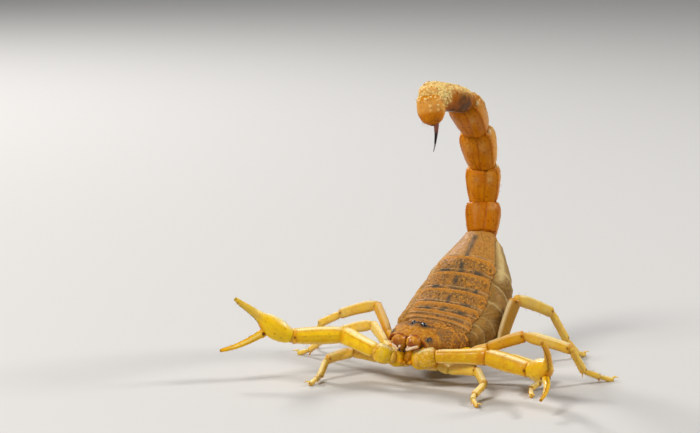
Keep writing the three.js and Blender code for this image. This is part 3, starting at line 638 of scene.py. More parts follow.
# Coarse and fine grains, swellings at the sides, the knob under the eyes, the furrows and the keels.
lift = 0.045 * studs(cap, 0.33, 0.3, 2) + 0.03 * studs(cap, 0.21, 0.19, 3) * ease(reach, 0.3, 0.5)
swells = ease(np.abs(v), 0.35, 0.6) * ease(reach, 0.25, 0.4)
lift += 0.07 * grain(cap * [0.8, 1.4, 1], 0.75, 6) * swells
lift += 0.022 * grain(cap * [0.45, 2.0, 1.0], 0.22, 7) * (1 - ease(reach, 0.28, 0.42))
lift += 0.40 * hump(x, 0.62) * hump(y - median_eye["y"] + 0.05, 0.95)
lift -= 0.16 * hump(x, 0.14) * window(y, -3.9, -1.7, 0.25)
lift -= 0.14 * hump(x, 0.12) * window(y, -0.1, 3.2, 0.3)
lift -= 0.10 * hump(x, 0.1) * hump(y - median_eye["y"], 0.8)
lift -= 0.15 * hump(np.abs(x) - 1.9 - 0.25 * (y - 1.5), 0.22) * window(y, 0.2, 2.9, 0.3)
beads = 0.6 + 0.4 * wave(y / bead_pitch)
rear_keel = hump(np.abs(x) - 1.0 - 0.07 * (y - 0.5), 0.12) * window(y, -0.3, 3.2, 0.2)
lift += 0.10 * rear_keel * beads * on_top
lift += 0.07 * hump(np.abs(x) - 1.25 + 0.22 * (y + 2.4), 0.11) * window(y, -3.7, -1.5, 0.2) * beads
lift += 0.05 * hump(reach, 0.02) - rolled(reach * head_length, 0.16)
lift -= rolled((1 - np.abs(v)) * 12, 0.5)
# Each eye sits in a dimple with a raised rim, in a smoky ring.
smoke = np.zeros_like(x)
for sign in (1, -1):
    eye = shield_top(sign * median_eye["x"], median_eye["y"])
    away = np.hypot(x - eye[0], y - eye[1])
    lift += 0.12 * hump(away - 0.5, 0.1) - 0.2 * hump(away, 0.3)
    smoke = np.maximum(smoke, hump(away, 0.72))
    for i in range(side_eye["count"]):
        sideways = sign * (side_eye["x"] + 0.35 * side_eye["pitch"] * i)
        away = np.hypot(x - sideways, y - side_eye["y"] - side_eye["pitch"] * i)
        lift += 0.05 * hump(away - 0.24, 0.06)
        smoke = np.maximum(smoke, hump(away, 0.36))
# More smoke lies between the large eyes, slants out behind them and runs down the middle.
smoke = np.maximum(smoke, 0.92 * window(np.abs(x), -1, 1.25, 0.2) * window(y, -1.35, -0.35, 0.2))
streak = hump(y + 0.55 - 0.25 * (np.abs(x) - 1.2), 0.3) * window(np.abs(x), 1.1, 2.3, 0.25) * on_top
smoke = np.maximum(smoke, streak * ease(grain(cap, 0.4, 11), -0.5, 0.4))
smoke = np.maximum(smoke, 0.5 * hump(x, 0.3) * window(y, 0.3, 3.0, 0.3))
frontal = (1 - ease(reach + 0.06 * grain(cap, 0.8, 12), 0.30, 0.42)) * (0.75 + 0.25 * grain(cap, 0.6, 13))
marks = {
    "front": np.clip(frontal * (1 - 0.3 * ease(np.abs(v), 0.6, 0.9)), 0, 0.95),
    "olive": ease(np.abs(x) / section[..., 3], 0.45, 0.72) * ease(reach, 0.28, 0.42) * 0.85,
    # The rim darkens the front edge and the lower side edges; over the jaws it is painted shade in the gap
    # they come out of.
    "rim": 0.95 * hump(reach, 0.028) + 0.45 * hump((1 - np.abs(v)), 0.02),
    "grit": ease(reach + 0.05 * grain(cap, 0.7, 15), 0.34, 0.5) * (0.4 + 0.6 * ease(x, -2.5, 2.0)),
    "smoke": np.clip(smoke, 0, 1),
}
skin = shell(raised(cap, n, lift), raised(cap, n, lift - shield_thickness), marks)
place("head_shield", [skin], head_shield, "face", "carapace")

# ------------------------------------------------------------------------------------------- the eyes
# Two large eyes sit on a raised knob in the middle of the shield and three tiny ones in a row at each front
# corner. They are smooth clear lenses of cuticle over black pigment, without lids.

eye_glass = cuticle("eye_glass", (0.007, 0.0065, 0.006), 0.06, coat=1.0, shine=0.5)
dye(eye_glass, (((0.3,), (0.5, 0.7, 0.6)), (0.02, 0.016, 0.012)))


def dome(centre, radius, axis, flatten=0.8, rows=22, cols=36):
    """A lens: a ball drawn flatter along the way it looks."""
    axis = unit(axis)
    right = unit(np.cross(axis, [0.3, 0.2, 1.0]))
    over = np.cross(axis, right)
    a = np.linspace(0.001, np.pi - 0.001, rows)[:, None, None]
    b = (np.arange(cols) * 2 * np.pi / cols)[None, :, None]
    return centre + radius * (flatten * np.cos(a) * axis + np.sin(a) * (np.cos(b) * right + np.sin(b) * over))


for name, sign in (("left", 1), ("right", -1)):
    centre = shield_top(sign * median_eye["x"], median_eye["y"]) + [0, 0, median_eye["lift"] + 0.06]
    lens = tube(dome(centre, median_eye["radius"], np.array([sign * 0.75, -0.45, 0.75]), 0.92))
    place(f"median_eye_{name}", [lens], eye_glass, "eye", f"median_eye_{name}")
    row = []
    for i in range(side_eye["count"]):
        forwards = side_eye["y"] + side_eye["pitch"] * i
        sideways = sign * (side_eye["x"] + 0.35 * side_eye["pitch"] * i)
        centre = shield_top(sideways, forwards) + [0, 0, 0.05]
        radius = side_eye["radius"] * (1 - 0.12 * i)
        row.append(tube(dome(centre, radius, np.array([sign, -0.5, 0.6]), 0.85, 14, 24)))
    place(f"side_eyes_{name}", row, eye_glass, "eye", f"lateral_eyes_{name}")

# --------------------------------------------------------------------------------- the belly plates
# Five smooth plates close the belly, four of them with a slit of a breathing hole on each side. In front
# of them lie the two valves of the birth opening and the small breast plate between the hips.

belly_spans = {3: (66, 64), 4: (63, 62), 5: (61, 61), 6: (61, 60), 7: (60, 66)}
belly_overhang, belly_thickness, belly_fineness = 0.2, 0.25, 0.09
valve_radius, breast_radius = 0.95, 0.78
slit = {"place": 0.52, "forward": 0.5, "length": 0.5, "width": 0.075, "slant": 0.35}

belly_plate = cuticle("belly_plate", (0.58, 0.37, 0.13), 0.3, glow=0.2)
dye(belly_plate,
    (((2.0,), (0.45, 0.7, 0.7)), (0.46, 0.26, 0.08)),
    ("dusk", (0.40, 0.215, 0.06)),
    (((0.5, 3.0), (0.54, 0.66, 0.6)), (0.33, 0.17, 0.05)),
    (mingle(belly_plate, "MULTIPLY", veins(belly_plate, 1.3, 0.03), 0.35), (0.70, 0.50, 0.22)),
    ("edge", (0.66, 0.36, 0.09)),
    ("slit", (0.05, 0.02, 0.008)))
emboss(belly_plate, (0.3, 4.0), 0.035)
burnish(belly_plate, (1.0,), 0.2, 0.36)

for k, (front, rear) in belly_spans.items():
    length = float(np.linalg.norm(trunk(k + 2, 270) - trunk(k + 1, 270)))
    u = np.linspace(-0.04, 1 + belly_overhang / length, int(length / belly_fineness) + 16)[:, None]
    v = np.linspace(-1, 1, 130)[None, :]
    plate = trunk(k + 1 + u, 270 + v * (front + (rear - front) * u))
    middle = trunk_section(np.broadcast_to(k + 1 + u, plate.shape[:2]))[..., :3]
    n = outward(plate, False, middle)
    side = np.abs(plate[..., 0] - middle[..., 0])
    half = side[:, -1:]
    lift = 0.03 + 0.13 * np.clip(u, 0, 2) ** 1.5 + 0.012 * grain(plate, 0.5, 20 + k)
    lift = lift - rolled((1 - np.abs(v)) * half, 0.35) - rolled((u[-1] - u) * length, 0.12)
    lift -= 0.03 * hump(side, 0.12) * window(u, 0.2, 0.9, 0.1)
    hole = np.zeros_like(side)
    if k < 7:
        sideways = side - slit["place"] * half
        forwards = (u - slit["forward"]) * length + slit["slant"] * sideways
        hole = hump(sideways, slit["length"]) * hump(forwards, slit["width"])
        rim = hump(sideways, slit["length"] * 1.25) * hump(forwards, slit["width"] * 2.6)
        lift += 0.05 * rim - 0.16 * hole
    else:
        beads = 0.6 + 0.4 * wave(u * length / bead_pitch)
        for out in (0.3, 0.68):
            lift += 0.09 * hump(side - out * half, 0.1) * window(u, 0.25, 0.9, 0.08) * beads
    dimples = studs(plate, 0.7, 0.22, 33)
    ripples = grain(plate * [0.3, 2.0, 1.0], 0.4, 34) * (1 - ease(u, 0.1, 0.35))
    lift = lift - 0.03 * dimples + 0.02 * ripples
    dusk = 0.7 * (1 - ease(u + 0.08 * grain(plate, 0.6, 35), 0.05, 0.28)) + 0.5 * dimples
    dusk = np.clip(dusk + 0.5 * hump(side - 0.66 * half, 0.5), 0, 0.9)
    marks = {"edge": 0.8 * window(u, 0.92, 1.3, 0.03), "slit": hole, "dusk": dusk}
    under = np.where(u > lip_start, lift - 0.12, -belly_thickness)
    skin = shell(raised(plate, n, lift), raised(plate, n, under), marks)
    place(f"belly_plate_{k}", [skin], belly_plate, "belly", f"sternite_{k}")

valves = []
for sign in (1, -1):
    centre = trunk(2.5, 270) + [sign * 0.72, 0.0, 0.12]
    valve = dome(centre, valve_radius, np.array([sign * 0.25, -0.1, -1.0]), 0.38, 40, 60)
    n = outward(valve, True, valve.mean((0, 1)))
    valve = raised(valve, n, 0.03 * grain(valve, 0.35, 31) + 0.02 * grain(valve, 0.15, 32))
    valves.append(tube(valve, {"edge": 0.5 * hump(np.arange(40)[:, None] - 19, 4.0)}))
breast = dome(trunk(1.9, 270) + [0, 0.1, 0.1], breast_radius, np.array([0, 0, -1.0]), 0.45, 40, 60)
valves.append(tube(breast, {"edge": 0.4 * hump(np.arange(40)[:, None] - 19, 5.0)}))
place("birth_valves_and_breast_plate", valves, belly_plate, "belly", "genital_operculum")

# ---------------------------------------------------------------------------------------- the combs
# A pair of feelers shaped like combs hangs behind the last hips: a jointed back of three bars, a row of
# little knobs, and a flat peg of a tooth on each knob. They are thin, pale and waxy.

comb = {"length": 6.0, "width": 1.3, "thickness": 0.6, "teeth": 24, "tooth": 0.75, "sweep": 35, "tilt": 16}
comb_root = np.array([0.5, 5.9, 1.15])
comb_cuts = [0, 0.3, 0.62, 1.0]  # where the back is jointed
comb_beads = 8  # little knobs between the back and the teeth

comb_wax = cuticle("comb_wax", (0.70, 0.50, 0.22), 0.34, glow=0.35)
dye(comb_wax,
    (((0.7,), (0.42, 0.62, 0.6)), (0.58, 0.36, 0.12)),
    ("groove", (0.32, 0.17, 0.05)))
emboss(comb_wax, (0.12, 2.0), 0.015)


def comb_point(out, forward, up, sign):
    """A place on a comb: out along it, forward of the roots of its teeth, and up from its underside."""
    sweep, tilt = math.radians(comb["sweep"]), math.radians(comb["tilt"])
    x = out * math.cos(sweep) + forward * math.sin(sweep)
    y = -out * math.sin(sweep) + forward * math.cos(sweep)
    z = -y * math.sin(tilt) + up * math.cos(tilt)
    y = y * math.cos(tilt) + up * math.sin(tilt)
    return np.stack([sign * (comb_root[0] + x), comb_root[1] - y, comb_root[2] + z], -1)


def comb_bar(start, end, half_width, half_height, sign, rows=14, cols=16, bow=0.0):
    """A rounded bar between two places on a comb, each given as out, forward and up."""
    t = np.linspace(0, 1, rows)
    start, end = np.array(start, float), np.array(end, float)
    line = start + (end - start) * t[:, None]
    along = unit(end - start)
    across = np.array([-along[1], along[0], 0.0])
    line = line + across * (bow * np.sin(np.pi * t))[:, None]
    fat = np.sqrt(np.clip(1 - np.abs(2 * t - 1) ** 5, 0.0004, 1))[:, None, None]
    turn = (np.arange(cols) * 2 * np.pi / cols)[None, :, None]
    ring = across * np.cos(turn) * half_width + np.array([0, 0, 1.0]) * np.sin(turn) * half_height
    grid = line[:, None] + ring * fat
    return comb_point(grid[..., 0], grid[..., 1], grid[..., 2], sign)


for name, sign in (("left", 1), ("right", -1)):
    bars = []
    length, width, mid = comb["length"], comb["width"], comb["thickness"] / 2
    for a, b in zip(comb_cuts, comb_cuts[1:]):
        ends = (a * length - 0.03, width * 0.78, mid), (b * length + 0.03, width * 0.62, mid)
        back = comb_bar(*ends, 0.3, 0.27, sign, 40, 28)
        bars.append(tube(back, {"groove": 0.15}))
    pitch = length / comb["teeth"]
    for i in range(comb_beads):
        a = (i + 0.1) * length / comb_beads
        ends = (a, width * 0.40, mid), (a + length / comb_beads * 0.95, width * 0.36, mid)
        bead = comb_bar(*ends, 0.17, 0.2, sign, 20, 20)
        bars.append(tube(bead, {"groove": 0.1}))
    for i in range(comb["teeth"]):
        a = pitch * (i + 0.45)
        reach = comb["tooth"] * (0.55 + 0.45 * math.sin(math.pi * (i + 1) / (comb["teeth"] + 1)))
        knob = comb_bar((a, width * 0.2, mid), (a, -0.02, mid), 0.09, 0.13, sign, 12, 14)
        tooth = comb_bar((a, 0.08, mid), (a + 0.06, -reach, mid - 0.05), 0.095, 0.17, sign, 20, 16, 0.05)
        bars.append(tube(knob, {"groove": 0.3}))
        bars.append(tube(tooth, {"groove": 0.35 * hump(np.linspace(0, 1, 20)[:, None], 0.25)}))
    place(f"comb_{name}", bars, comb_wax, "belly", f"pectine_{name}")

# ------------------------------------------------------------------------------ the hips of the legs
# Four hips a side are fused into the floor of the head, ribbed along their edges. The first two send
# blunt lobes forward under the mouth. All limbs share one amber shell, clear enough for light to soak in.

hip_ends = np.array([[3.8, -2.4, 3.0], [5.0, 0.3, 3.4], [5.7, 3.1, 3.8], [5.8, 6.0, 3.9]])
hip_start = {"x": 0.75, "y": -2.2, "z": 2.95, "pitch": 1.35}  # of the first hip, and on to the next
hip_width, hip_height = 1.55, 1.7
hip_shape = [[0, 0.8, 0.9], [0.5, 1, 1.05], [1, 0.95, 0.95]]
# Root, bearing, rise, length and thickness of the lobes of the first and the second hip.
mouth_lobes = [([0.62, -2.3, 2.95], 4, 12, 2.6, 0.8), ([0.28, -1.6, 2.75], 2, 10, 3.0, 0.55)]

limb_shell = cuticle("limb_shell", (0.87, 0.52, 0.006), 0.28, glow=0.25, coat=0.1, shine=0.2)
dye(limb_shell,
    (((1.5, 5.0, 0.7), (0.44, 0.62, 0.8)), (0.77, 0.39, 0.004)),
    ("soft", (0.80, 0.62, 0.22)),
    # This lighter yellow is painted light on the right arm and hand, with some mottling on both sides.
    ("sun", (0.98, 0.68, 0.012)),
    # The dusky layer is a dark tint, and on the ring and thigh of each last leg it is painted shade.
    ("dusk", (0.33, 0.17, 0.03)),
    # The pale layer is partly painted highlight along the top edges and crests of the limbs.
    ("pale", (0.94, 0.86, 0.52)),
    ("warm", (0.64, 0.25, 0.006)),
    (((0.4, 3.0), (0.60, 0.70, 0.6)), (0.46, 0.19, 0.006)),
    ("dot", (0.085, 0.012, 0.004)))
emboss(limb_shell, (0.22, 3.0), 0.02)
burnish(limb_shell, (0.9,), 0.2, 0.38)


def laid(bearing, rise):
    """The ways forward and up of a piece that lies at a bearing and a rise."""
    return heading(bearing, rise), heading(bearing, rise + 90)


def loft(centre, forward, up, sign, width, height, cols, squareness=0.85):
    """Rings round a middle line with their normals: turn 0 looks to the front and 90 to the back edge."""
    side = unit(sign * np.cross(forward, up))
    up = np.cross(sign * side, forward)
    turn = (np.arange(cols) * 360 / cols)[None, :]
    c, s = np.cos(np.radians(turn)), np.sin(np.radians(turn))
    out = width[:, None] / 2 * np.sign(c) * np.abs(c) ** squareness
    rise = height[:, None] / 2 * np.sign(s) * np.abs(s) ** squareness
    grid = centre[:, None] + side[:, None] * out[..., None] + up[:, None] * rise[..., None]
    return grid, outward(grid, True, centre[:, None]), turn


def swell(profile, t):
    """Width and height shares along a piece, from a few knots with the corners between them eased."""
    knots = np.array(profile)
    near = t[:, None] + np.linspace(-0.07, 0.07, 9)
    return [np.interp(near, knots[:, 0], knots[:, k]).mean(1) for k in (1, 2)]


def blunted(distance, radius):
    """Rounds a piece off within one radius of its end."""
    return np.sqrt(np.clip(1 - np.clip(1 - distance / radius, 0, 1) ** 2, 0.0002, 1))


def segment(
    start, forward, up, sign, size, profile, blunt=0.4, fine=0.1, squareness=0.85, bow=0.0, overrun=0.1
):
    """One piece of a limb: its rings, normals, place along it (0 to 1) and turn about it."""
    length, width, height = size
    s = np.linspace(0, 1, int(length / fine) + 16)
    t = s - 0.1 * np.sin(2 * np.pi * s)
    w, h = swell(profile, t)
    reach = t * (length + 2 * overrun) - overrun
    ends = blunted(reach + overrun, blunt) * blunted(length + overrun - reach, blunt)
    centre = start + forward * reach[:, None] + up * (bow * np.sin(np.pi * t))[:, None]
    cols = max(28, int(max(width, height) * 3.3 / fine / 4) * 4)
    lay = np.broadcast_to(forward, centre.shape), np.broadcast_to(up, centre.shape)
    grid, n, turn = loft(centre, *lay, sign, width * w * ends, height * h * ends, cols, squareness)
    return grid, n, t[:, None], turn


def turned(turn, at):
    """How many degrees each turn about a limb piece is from one of them."""
    return np.abs((turn - at + 180) % 360 - 180)


def band(turn, at, width):
    """A soft stripe along a limb piece at one turn about it."""
    return hump(turned(turn, at), width)


def keel(t, turn, at, height, start=0.06, end=0.94, width=8, beads=0):
    """A raised edge along a limb piece, cut into a number of grains if beads are given."""
    edge = height * band(turn, at, width) * window(t, start, end, 0.04)
    return edge * (0.62 + 0.38 * wave(beads * t)) if beads else edge


def horn(root, bearing, rise, length, thick, tip, bend, sign, fine=0.08, power=1.3, curl=0, blunt=0.3):
    """A curved finger, claw or sting that thins to its tip; it bends upwards and curls to her left."""
    t = np.linspace(0, 1, int(length / fine) + 10)
    lean, bearing = rise + bend * (t - 0.5), bearing + curl * (t - 0.5)
    forward, up = laid(bearing, lean)
    step = (forward[1:] + forward[:-1]) / 2 * (length * np.diff(t))[:, None]
    centre = np.concatenate([root[None], root + np.cumsum(step, 0)])
    fat = (thick + (tip - thick) * t ** power) * blunted(t * length, blunt)
    fat = fat * blunted((1 - t) * length, tip * 0.8)
    cols = max(16, int(thick * 3.3 / fine / 4) * 4)
    grid, n, turn = loft(centre, forward, up, sign, fat, fat, cols, 0.95)
    return grid, n, t[:, None], turn


hips = []
for sign in (1, -1):
    for i, end in enumerate(hip_ends):
        sunk = 0.6 if (sign, i) == (1, 3) else 0  # the trunk leans to her left and bears down on that hip
        forwards = hip_start["y"] + hip_start["pitch"] * i
        inner = np.array([sign * hip_start["x"], forwards, hip_start["z"] - sunk])
        outer = end * [sign, 1, 1]
        forward = unit(outer - inner)
        up = np.cross(unit(np.cross(forward, [0, 0, 1.0])), forward)
        size = (float(np.linalg.norm(outer - inner)), hip_width, hip_height)
        grid, n, t, turn = segment(inner, forward, up, sign, size, hip_shape)
        lift = keel(t, turn, 320, 0.1, beads=9 + 2 * i) + keel(t, turn, 220, 0.08, beads=9 + 2 * i)
        lift = lift - 0.07 * band(turn, 270, 14) * window(t, 0.15, 0.85, 0.1) + 0.02 * grain(grid, 0.4, i)
        marks = {
            "pale": 0.5 * band(turn, 320, 14),
            "warm": 0.35 * hump(t - 1, 0.12) + 0.3 * band(turn, 0, 25),
        }
        hips.append(tube(raised(grid, n, lift), marks))
    for root, bearing, rise, length, thick in mouth_lobes:
        root = np.array(root) * [sign, 1, 1]
        grid, n, t, turn = horn(root, sign * bearing, rise, length, thick, thick * 0.8, 24, sign, blunt=0.4)
        marks = {"warm": 0.85 + 0.15 * grain(grid, 0.4, 47), "dot": 0.35 * hump(t - 0.1, 0.35)}
        hips.append(tube(grid, marks))

# The upper lip is a soft rounded wedge that closes the gap between the two arms' hips over the lobes.
lip_root, lip_size = np.array([0, -1.2, 4.05]), (3.1, 1.75, 1.9)
lip_shape = [[0, 0.9, 0.9], [0.6, 1, 1], [1, 0.7, 0.8]]
grid, n, t, turn = segment(lip_root, *laid(0, -4), 1, lip_size, lip_shape, 0.9, 0.08)
lift = 0.03 * grain(grid, 0.3, 45) - 0.08 * band(turn, 90, 8) * t
hips.append(tube(raised(grid, n, lift), {"warm": 0.9 + 0.1 * grain(grid, 0.6, 46), "dot": 0.25}))
place("hips", hips, limb_shell, "limb", "coxosternum")

# ---------------------------------------------------------------------------------------- the jaws
# Two stubby pincers stick out under the front edge of the shield. Each is a swollen orange palm with a
# fixed thumb and, hinged on the outside, a finger; both are pale, toothed and tipped with black.

jaw = {"x": 1.04, "y": -3.2, "z": 6.3, "length": 2.0, "width": 2.02, "turn": 2, "rise": -16}
# The lay of each finger is its rise, length, thickness at the root and at the tip, and how far it bends.
jaw_finger = {"turn": -62, "lay": (-20, 2.35, 0.5, 0.13, -16), "curl": -56}
jaw_thumb = {"turn": -22, "lay": (-40, 1.0, 0.6, 0.14, -20)}

jaw_shell = cuticle("jaw_shell", (0.60, 0.25, 0.016), 0.24, glow=0.2, coat=0.15)
dye(jaw_shell,
    (((0.7, 5.0, 0.7), (0.42, 0.58, 0.85)), (0.40, 0.12, 0.008)),
    (((0.5, 3.0), (0.55, 0.66, 0.8)), (0.78, 0.42, 0.05)),
    ("pale", (0.88, 0.66, 0.46)),
    # Across the top of each palm, where it comes out from under the shield, this dark rim is painted shade.
    ("rim", (0.20, 0.028, 0.008)),
    ("black", (0.012, 0.008, 0.007)))
emboss(jaw_shell, (0.5, 4.0), 0.06)

for name, sign in (("left", 1), ("right", -1)):
    forward, up = laid(sign * jaw["turn"], jaw["rise"])
    start = np.array([sign * jaw["x"], jaw["y"], jaw["z"]])
    front = start + forward * jaw["length"]
    profile = [[0, 0.75, 0.8], [0.35, 1, 1], [0.75, 1.0, 0.98], [1, 0.72, 0.72]]
    size = (jaw["length"], jaw["width"], jaw["width"])
    grid, n, t, turn = segment(start, forward, up, sign, size, profile, 0.75, 0.06, 0.92)
    lift = 0.03 * grain(grid, 0.35, 41) - 0.04 * band(turn, 90, 10) * t
    lift += keel(t, turn, 150, 0.05, 0.2, 0.9, 12)
    # The rim is painted shade across the top, where the palm comes out from under the shield; elsewhere it
    # darkens the lower side, the inner side and the tip.
    rim = 0.8 * band(turn, 262, 30) * ease(t, 0.5, 0.9) + 0.9 * band(turn, 90, 60) * hump(t - 0.42, 0.12)
    rim = np.clip(rim + 0.6 * band(turn, 180, 20) * ease(t, 0.4, 0.8) + 0.7 * ease(t, 0.82, 0.97), 0, 0.9)
    palm = tube(raised(grid, n, lift), {"rim": rim})
    root = front - forward * 0.45 - up * 0.15 - [sign * 0.3, 0, 0]
    grid, n, t, turn = horn(root, sign * jaw_thumb["turn"], *jaw_thumb["lay"], sign, 0.04)
    teeth = 0.13 * band(turn, 270, 28) * (0.5 + 0.5 * wave(3 * t)) * window(t, 0.3, 0.95, 0.08)
    marks = {"pale": 0.8 * window(t, 0.15, 0.7, 0.12), "black": ease(t, 0.68, 0.85)}
    place(f"jaw_{name}", [palm, tube(raised(grid, n, teeth), marks)], jaw_shell, "face", f"chelicera_{name}")
    root = front - forward * 0.6 - up * 0.22 + [sign * 0.86, 0, 0]
    curl = sign * jaw_finger["curl"]
    grid, n, t, turn = horn(root, sign * jaw_finger["turn"], *jaw_finger["lay"], sign, 0.04, curl=curl)
    teeth = 0.14 * band(turn, 90, 28) * (0.5 + 0.5 * wave(4 * t)) * window(t, 0.3, 0.95, 0.08)
    marks = {
        "pale": np.clip(0.95 * window(t, 0.1, 0.74, 0.1) - 0.35 * ease(grain(grid, 0.3, 42), 0.0, 0.6), 0, 1),
        "rim": 0.7 * band(turn, 90, 16) * window(t, 0.1, 0.7, 0.1),
        "black": ease(t, 0.7, 0.84),
    }
    part = tube(raised(grid, n, teeth), marks)
    place(f"jaw_finger_{name}", [part], jaw_shell, "face", f"cheliceral_finger_{name}")

# --------------------------------------------------------------------- the arms, as far as the wrists
# Each arm hangs on a broad hip beside the jaws, then has a short plate-like joint, an upper arm with grained
# keels round a pale flat back, and a longer, smoother forearm. Soft pale skin shows where they hinge.

arm_hip = (np.array([1.6, -1.9, 3.7]), np.array([2.0, -4.6, 3.9]))
arm_sizes = {
    "hip": (2.9, 2.5, 3.0),
    "shoulder": (2.2, 2.5, 2.7),
    "upper_arm": (7.0, 2.05, 1.95),
    "forearm": (7.3, 2.4, 2.3),
}
arm_shapes = {
    "hip": [[0, 0.85, 0.85], [0.4, 1, 1], [0.8, 1, 0.95], [1, 0.75, 0.7]],
    "shoulder": [[0, 0.62, 0.7], [0.45, 1, 1], [0.8, 1.02, 0.98], [1, 0.8, 0.8]],
    "upper_arm": [[0, 0.78, 0.8], [0.15, 0.95, 0.95], [0.6, 0.98, 1.0], [0.88, 1.12, 1.18], [1, 0.95, 1.0]],
    "forearm": [[0, 0.8, 0.86], [0.16, 1, 1.0], [0.5, 1.04, 1.04], [0.88, 0.93, 0.9], [1, 0.72, 0.74]],
}
hinge_share = 0.72  # the skin's width in a hinge, as a share of the shell's
# Bearing and rise of each piece of each arm.
arm_poses = {
    "left": {"shoulder": (109, 14), "upper_arm": (111, 2), "forearm": (78, -5)},
    "right": {"shoulder": (63, 16), "upper_arm": (110, 9), "forearm": (42, 2)},
}
# Where bristles grow: the place, the ways it leans and the limb runs, its length and its dab of skin map.
hair_roots = []


def sow(grid, n, count, longest, seed, strip, low=0.05, high=0.95, side=None):
    """Notes down places for bristles, scattered over one piece of limb."""
    pick = np.random.default_rng(seed)
    i = np.clip((pick.uniform(low, high, count) * len(grid)).astype(int), 1, len(grid) - 2)
    about = pick.uniform(0, 360, count) if side is None else side[0] + side[1] * pick.uniform(-1, 1, count)
    j = np.round((about % 360) / 360 * grid.shape[1]).astype(int) % grid.shape[1]
    along = unit(grid[i + 1, j] - grid[i - 1, j])
    lengths = longest * pick.uniform(0.45, 1.0, count)
    dab = np.stack([i / len(grid), (strip % 64 + j / grid.shape[1] * 0.9) / 64], -1)
    hair_roots.append((grid[i, j] - 0.02 * n[i, j], n[i, j], along, lengths, dab))


def arm_marks(grid, t, turn, seed):
    """Where an arm's shell is pale on top, partly as a painted highlight, warmer at the far joint, and dotted
    dark at the hinges.
    """
    top = ease(np.sin(np.radians(turn)), 0.55, 0.95)
    hinge = hump(t - 0.955, 0.02) * (band(turn, 0, 9) + band(turn, 180, 9))
    blot = 0.5 + 0.5 * grain(grid, 0.9, seed)
    return {
        "pale": np.clip(0.55 * top * window(t, 0.06, 0.95, 0.04) * (0.7 + 0.3 * blot), 0, 1),
        "warm": 0.65 * hump(t - 0.97, 0.06) + 0.3 * hump(t - 0.05, 0.06) + 0.25 * blot * (1 - top),
        "dot": hinge,
    }


def hinge_skin(joint, forward, up, sign, width, height, length=0.9):
    """The pale skin in a hinge, as a short plump sleeve."""
    size = (length, width, height)
    shape = [[0, 0.9, 0.9], [0.5, 1, 1], [1, 0.9, 0.9]]
    grid, n, t, turn = segment(joint - forward * length / 2, forward, up, sign, size, shape, 0.3, 0.1, 1.0)
    grid = raised(grid, n, 0.03 * np.sin(2 * np.pi * 3 * t))
    return tube(grid, {"soft": 0.35, "warm": 0.4})


